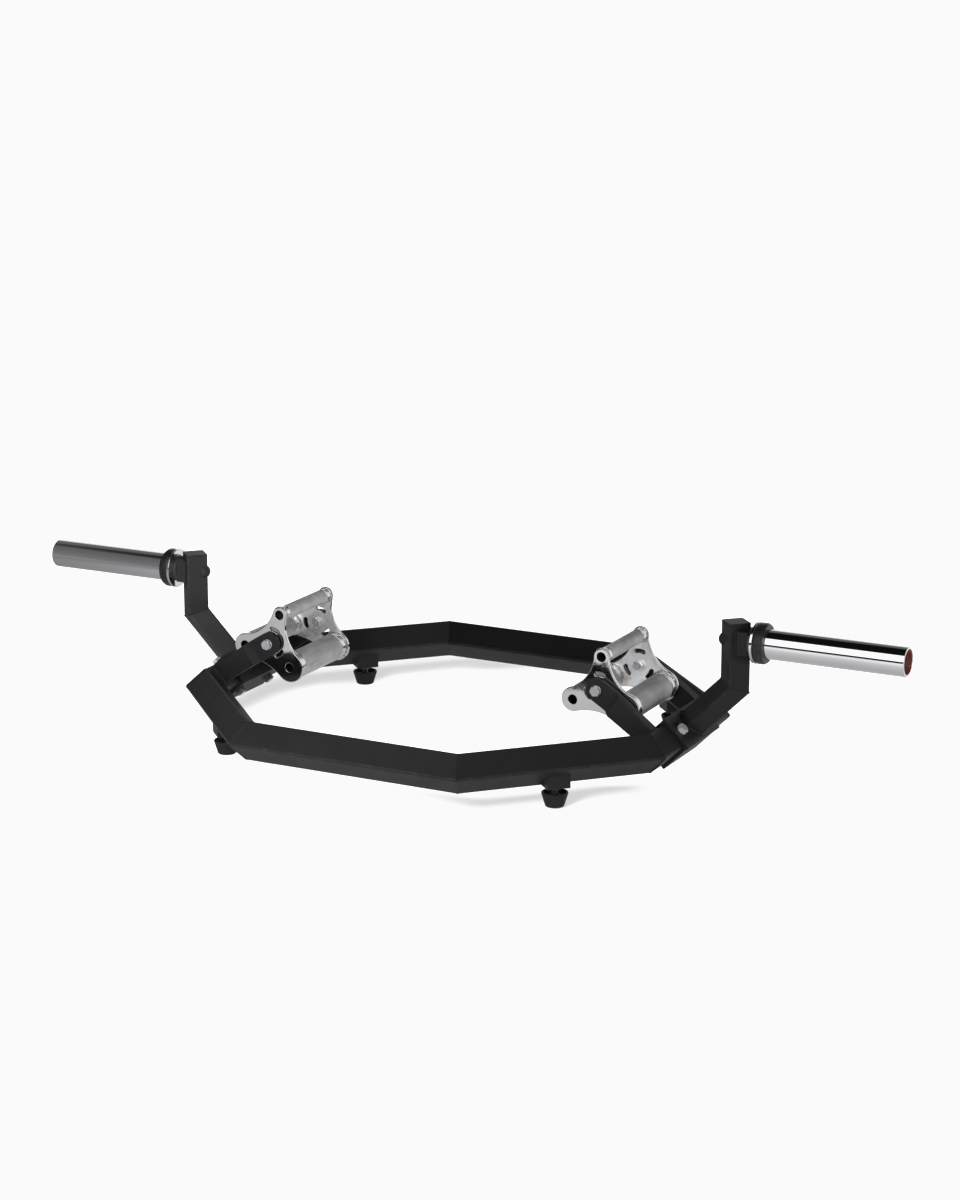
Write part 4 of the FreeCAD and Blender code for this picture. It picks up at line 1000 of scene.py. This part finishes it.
# ---------------------------------------------------------------- feet
feet, studs, nuts = Shape(), Shape(), Shape()
for f, (name, (half, minus, plus, x, y, degrees)) in enumerate((k, v) for k, v in RAILS.items() if "_right_rail" in k or "_left_rail" in k):
    ang = math.radians(degrees)
    c, s = math.cos(ang), math.sin(ang)
    at = lambda u, v, z: Vector((x + u * c - v * s, y + u * s + v * c, z))
    top = FOOT_TALL
    outline = fillet([(0.0, FOOT_BASE - 0.0004), (top - 0.0025, FOOT_TOP), (top, FOOT_TOP), (top, FOOT_TOP - 0.0034), (top - 0.005, FOOT_TOP - 0.0044),
                      (top - 0.005, 0.005), (0.008, 0.005)], [0.0022, 0.0006, 0.0009, 0.0008, 0.001, 0.0004, 0], 5)
    lathe(feet, [(0.0, 0.0, 0)] + outline + [(0.008, 0.0, 0)], 72, lambda a, u, v: at(u, v, a), closed=False)
    threaded(studs, at, 0.005, RING_Z - REACH - 0.0002, 0.008, 0.028, pitch=0.0015)
    hexagon(nuts, at, 0.017, STUB_BASE - 0.006, STUB_BASE, bore=0.00505, turn=math.radians((8, 31, 17, 46)[f]), both=True)
make(feet, "rubber_foot_set", "frame", [RUBBER], ["rubber_feet"])
# the foot studs and nuts take the near-black zinc copy, painted shade in the gap
make(studs, "foot_stud_set", "frame", [GAP_SHADE_ZINC], ["foot_studs"], angle=22)
make(nuts, "foot_nut_set", "frame", [GAP_SHADE_ZINC], ["foot_nuts"], angle=22)

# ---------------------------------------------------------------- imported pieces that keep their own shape
for node, mat in [(e + "_sleeve_bushes", BRONZE) for e, _ in SIDES] + [(e + "_pivot_bushes", BRONZE) for e, _ in SIDES] + \
        [(e + "_retaining_ring", SPRING) for e, _ in SIDES]:
    obj = CAD[node]
    if not obj.material_slots:
        obj.data.materials.append(mat)
    for slot in obj.material_slots:
        slot.link = "OBJECT"
        slot.material = mat

# ---------------------------------------------------------------- floor, light, camera
floor_mesh = bpy.data.meshes.new("floor")
rows = [[(0.0, 0.0, -0.0002)]] + [[(r * math.cos(TAU * k / 96), r * math.sin(TAU * k / 96), -0.0002) for k in range(96)] for r in (1.5, 6.0, 24.0, 90.0)]
pts, faces = [], []
for row in rows:
    start = len(pts)
    pts += row
    if len(row) == 96:
        for k in range(96):
            j = (k + 1) % 96
            faces.append((0, start + k, start + j) if start == 1 else (start - 96 + k, start + k, start + j, start - 96 + j))
floor_mesh.from_pydata(pts, [], faces)
floor = bpy.data.objects.new("floor", floor_mesh)
bpy.context.scene.collection.objects.link(floor)
m = Finish("floor_with_painted_light", Specular_IOR_Level=0.0)
m.p.inputs["Emission Color"].default_value = (1.0, 1.0, 1.0, 1.0)
floor_mesh.materials.append(m.done(m.ramp(m.noise(0.8, 3), (0.3, (0.345, 0.345, 0.345)), (0.7, (0.355, 0.355, 0.355))),
                                   m.span(m.noise(3, 3), 0.3, 0.7, 0.85, 0.95)))
# painted light on the floor: its glow rises in a pool at the front left, inside the ring right of the left end, and
# far out, so no shadow shows there
across = m.add("ShaderNodeSeparateXYZ")
m.t.links.new(m.co, across.inputs[0])
painted_light_pool = m.math("MULTIPLY", m.span(across.outputs[0], 0.02, 0.23, 1.0, 0.0, True), m.span(across.outputs[1], -0.16, -0.04, 1.0, 0.0, True))
reach = m.add("ShaderNodeVectorMath", operation="LENGTH")
m.t.links.new(m.co, reach.inputs[0])
# painted light: the glow rises inside the ring, away from the left end and the rear left
inside = m.math("MULTIPLY", m.span(across.outputs[0], -0.455, -0.385, 0.0, 1.0, True), m.span(across.outputs[1], -0.12, -0.05, 0.0, 1.0, True))
inside = m.math("MULTIPLY", inside, m.span(m.math("SUBTRACT", across.outputs[1], across.outputs[0]), 0.52, 0.62, 1.0, 0.0, True))
bright = m.math("ADD", m.math("MAXIMUM", painted_light_pool, inside), m.span(reach.outputs["Value"], 0.6, 0.95, 0.0, 1.2, True))
m.put(m.p.inputs["Emission Strength"], m.math("MULTIPLY_ADD", bright, 0.42, 0.6))
# painted reflection: as metal sees it, the floor glows less towards the left and under the bar
fall = m.math("MULTIPLY", m.span(across.outputs[0], -1.3, -0.3, 0.16, 1.0, True),
              m.span(m.math("ABSOLUTE", across.outputs[1]), 0.05, 1.0, 0.42, 1.0))
painted_reflection_glow = m.add("ShaderNodeEmission")
m.put(painted_reflection_glow.inputs["Strength"], m.math("MULTIPLY_ADD", fall, 0.83, 0.12))
swap = m.add("ShaderNodeMixShader")
m.t.links.new(m.add("ShaderNodeLightPath").outputs["Is Glossy Ray"], swap.inputs[0])
m.t.links.new(m.p.outputs[0], swap.inputs[1])
m.t.links.new(painted_reflection_glow.outputs[0], swap.inputs[2])
m.t.links.new(swap.outputs[0], m.t.nodes["Material Output"].inputs["Surface"])

world = bpy.data.worlds.new("studio")
bpy.context.scene.world = world
world.use_nodes = True
w = Tree(world.node_tree)
for n in list(world.node_tree.nodes):
    world.node_tree.nodes.remove(n)
sep = w.add("ShaderNodeSeparateXYZ")
w.t.links.new(w.add("ShaderNodeTexCoord").outputs["Generated"], sep.inputs[0])
dx, dy, dz = sep.outputs
ahead = w.math("MAXIMUM", w.math("MULTIPLY", dy, -1.0), 0.02)
px, pz = w.math("DIVIDE", dx, ahead), w.math("DIVIDE", dz, ahead)
in_front = w.span(dy, -0.06, -0.02, 1.0, 0.0, True)
behind = w.span(dy, 0.5, 0.68, 0.0, 1.0, True)
left_edge = w.math("MULTIPLY_ADD", pz, -0.22, -0.40)
box = w.math("MULTIPLY", w.span(pz, 0.17, 0.23, 0.0, 1.0, True), w.span(pz, 1.46, 1.64, 1.0, 0.0, True))
box = w.math("MULTIPLY", box, w.span(w.math("SUBTRACT", px, left_edge), -0.05, 0.05, 0.0, 1.0, True))
box = w.math("MULTIPLY", box, w.span(px, 1.12, 1.28, 1.0, 0.0, True))
box = w.math("MULTIPLY", box, in_front)
back = w.math("MULTIPLY", behind, w.span(dz, 0.35, 0.55, 1.0, 0.0, True))
glow = w.math("MULTIPLY", w.span(dz, 0.0, 0.8, 1.0, 0.6), w.span(dz, 0.77, 0.86, 1.0, 0.0, True))
glow = w.math("MULTIPLY", glow, w.span(dx, -0.85, -0.6, 0.0, 1.0, True))
strip = w.math("MULTIPLY", w.math("MULTIPLY", w.span(pz, 0.17, 0.23, 1.0, 0.0, True), in_front), w.span(px, -0.6, -0.4, 0.0, 1.0, True))
side = w.math("MULTIPLY", w.math("SUBTRACT", 1.0, w.math("MAXIMUM", w.math("MAXIMUM", back, box), strip)), glow)
light = w.math("ADD", w.math("MULTIPLY", box, 1.6), w.math("MULTIPLY", back, 0.95))
light = w.math("ADD", light, w.math("MULTIPLY_ADD", side, 0.2, 0.005))
lit = w.add("ShaderNodeBackground")
w.put(lit.inputs["Strength"], light)
lit.inputs["Color"].default_value = (1.0, 1.0, 1.0, 1.0)
plain = w.add("ShaderNodeBackground")
plain.inputs["Color"].default_value = (1.1, 1.1, 1.1, 1.0)
pick = w.add("ShaderNodeMixShader")
w.t.links.new(w.add("ShaderNodeLightPath").outputs["Is Camera Ray"], pick.inputs[0])
w.t.links.new(lit.outputs[0], pick.inputs[1])
w.t.links.new(plain.outputs[0], pick.inputs[2])
w.t.links.new(pick.outputs[0], w.add("ShaderNodeOutputWorld").inputs[0])


def lamp(name, kind, energy, size, toward, at=(0.0, 0.0, 0.0)):
    data = bpy.data.lights.new(name, kind)
    data.energy = energy
    if kind == "SUN":
        data.angle = math.radians(size)
    else:
        data.shape, data.size = "DISK", size
    obj = bpy.data.objects.new(name, data)
    obj.location = at
    obj.rotation_euler = Vector(toward).to_track_quat("-Z", "Y").to_euler()
    obj.visible_glossy = obj.visible_camera = False
    bpy.context.scene.collection.objects.link(obj)
    return obj


# a near light at the front and a low one from the right for the bar, a wash for the floor alone, and a fill for the left riser
KEY_AT, WASH_AT, FILL_AT = Vector((-0.1, -1.0, 0.46)), Vector((0.02, -2.3, 1.72)), Vector((-0.35, -0.9, 0.5))


def pieces(*names):
    return [bpy.data.objects[n] for n in names]


LAMPS = ((lamp("key", "AREA", 18.2, 0.6, Vector((0.0, 0.0, 0.1)) - KEY_AT, KEY_AT), "EXCLUDE",
          [floor] + pieces("rear_rail_tube", "rear_right_rail_tube", "saddle_hex_nuts")),
         (lamp("side", "SUN", 3.5, 6.0, (-1.0, 0.11, -0.11)), "EXCLUDE", [floor]),
         (lamp("floor_wash", "AREA", 295.0, 1.5, -WASH_AT, WASH_AT), "INCLUDE", [floor]),
         (lamp("left_fill", "AREA", 22.0, 0.5, Vector((-0.53, 0.0, 0.2)) - FILL_AT, FILL_AT), "INCLUDE",
          pieces("left_post_tube", "left_strut_tube", "left_cap_plate", "left_block", "left_axle_bar")))
for obj, state, held in LAMPS:
    group = bpy.data.collections.new(obj.name + "_on")
    for piece in held:
        group.objects.link(piece)
    for entry in group.collection_objects:
        entry.light_linking.link_state = state
    obj.light_linking.receiver_collection = group

scene = bpy.context.scene
scene.view_settings.view_transform = "Standard"
scene.view_settings.look = "None"
scene.view_settings.use_curve_mapping = True
curves = scene.view_settings.curve_mapping
curves.extend = "HORIZONTAL"
tone = curves.curves[3]
while len(tone.points) < 3:
    tone.points.new(0.5, 0.5)
for point, at in zip(tone.points, ((0.0, 0.0), (0.9, 0.9), (1.0, 0.956))):
    point.location = at
    point.handle_type = "VECTOR"
curves.update()

cam = bpy.data.cameras.new("camera")
cam.sensor_width = 36.0
cam.sensor_fit = "AUTO"
cam.lens = 85.849
cam.clip_start, cam.clip_end = 0.1, 300.0
eye = bpy.data.objects.new("camera", cam)
eye.location = (2.216915, -4.239767, 1.492025)
eye.rotation_euler = (math.radians(75.494), 0.0, math.radians(27.047))
scene.collection.objects.link(eye)
scene.camera = eye

bpy.context.view_layer.update()
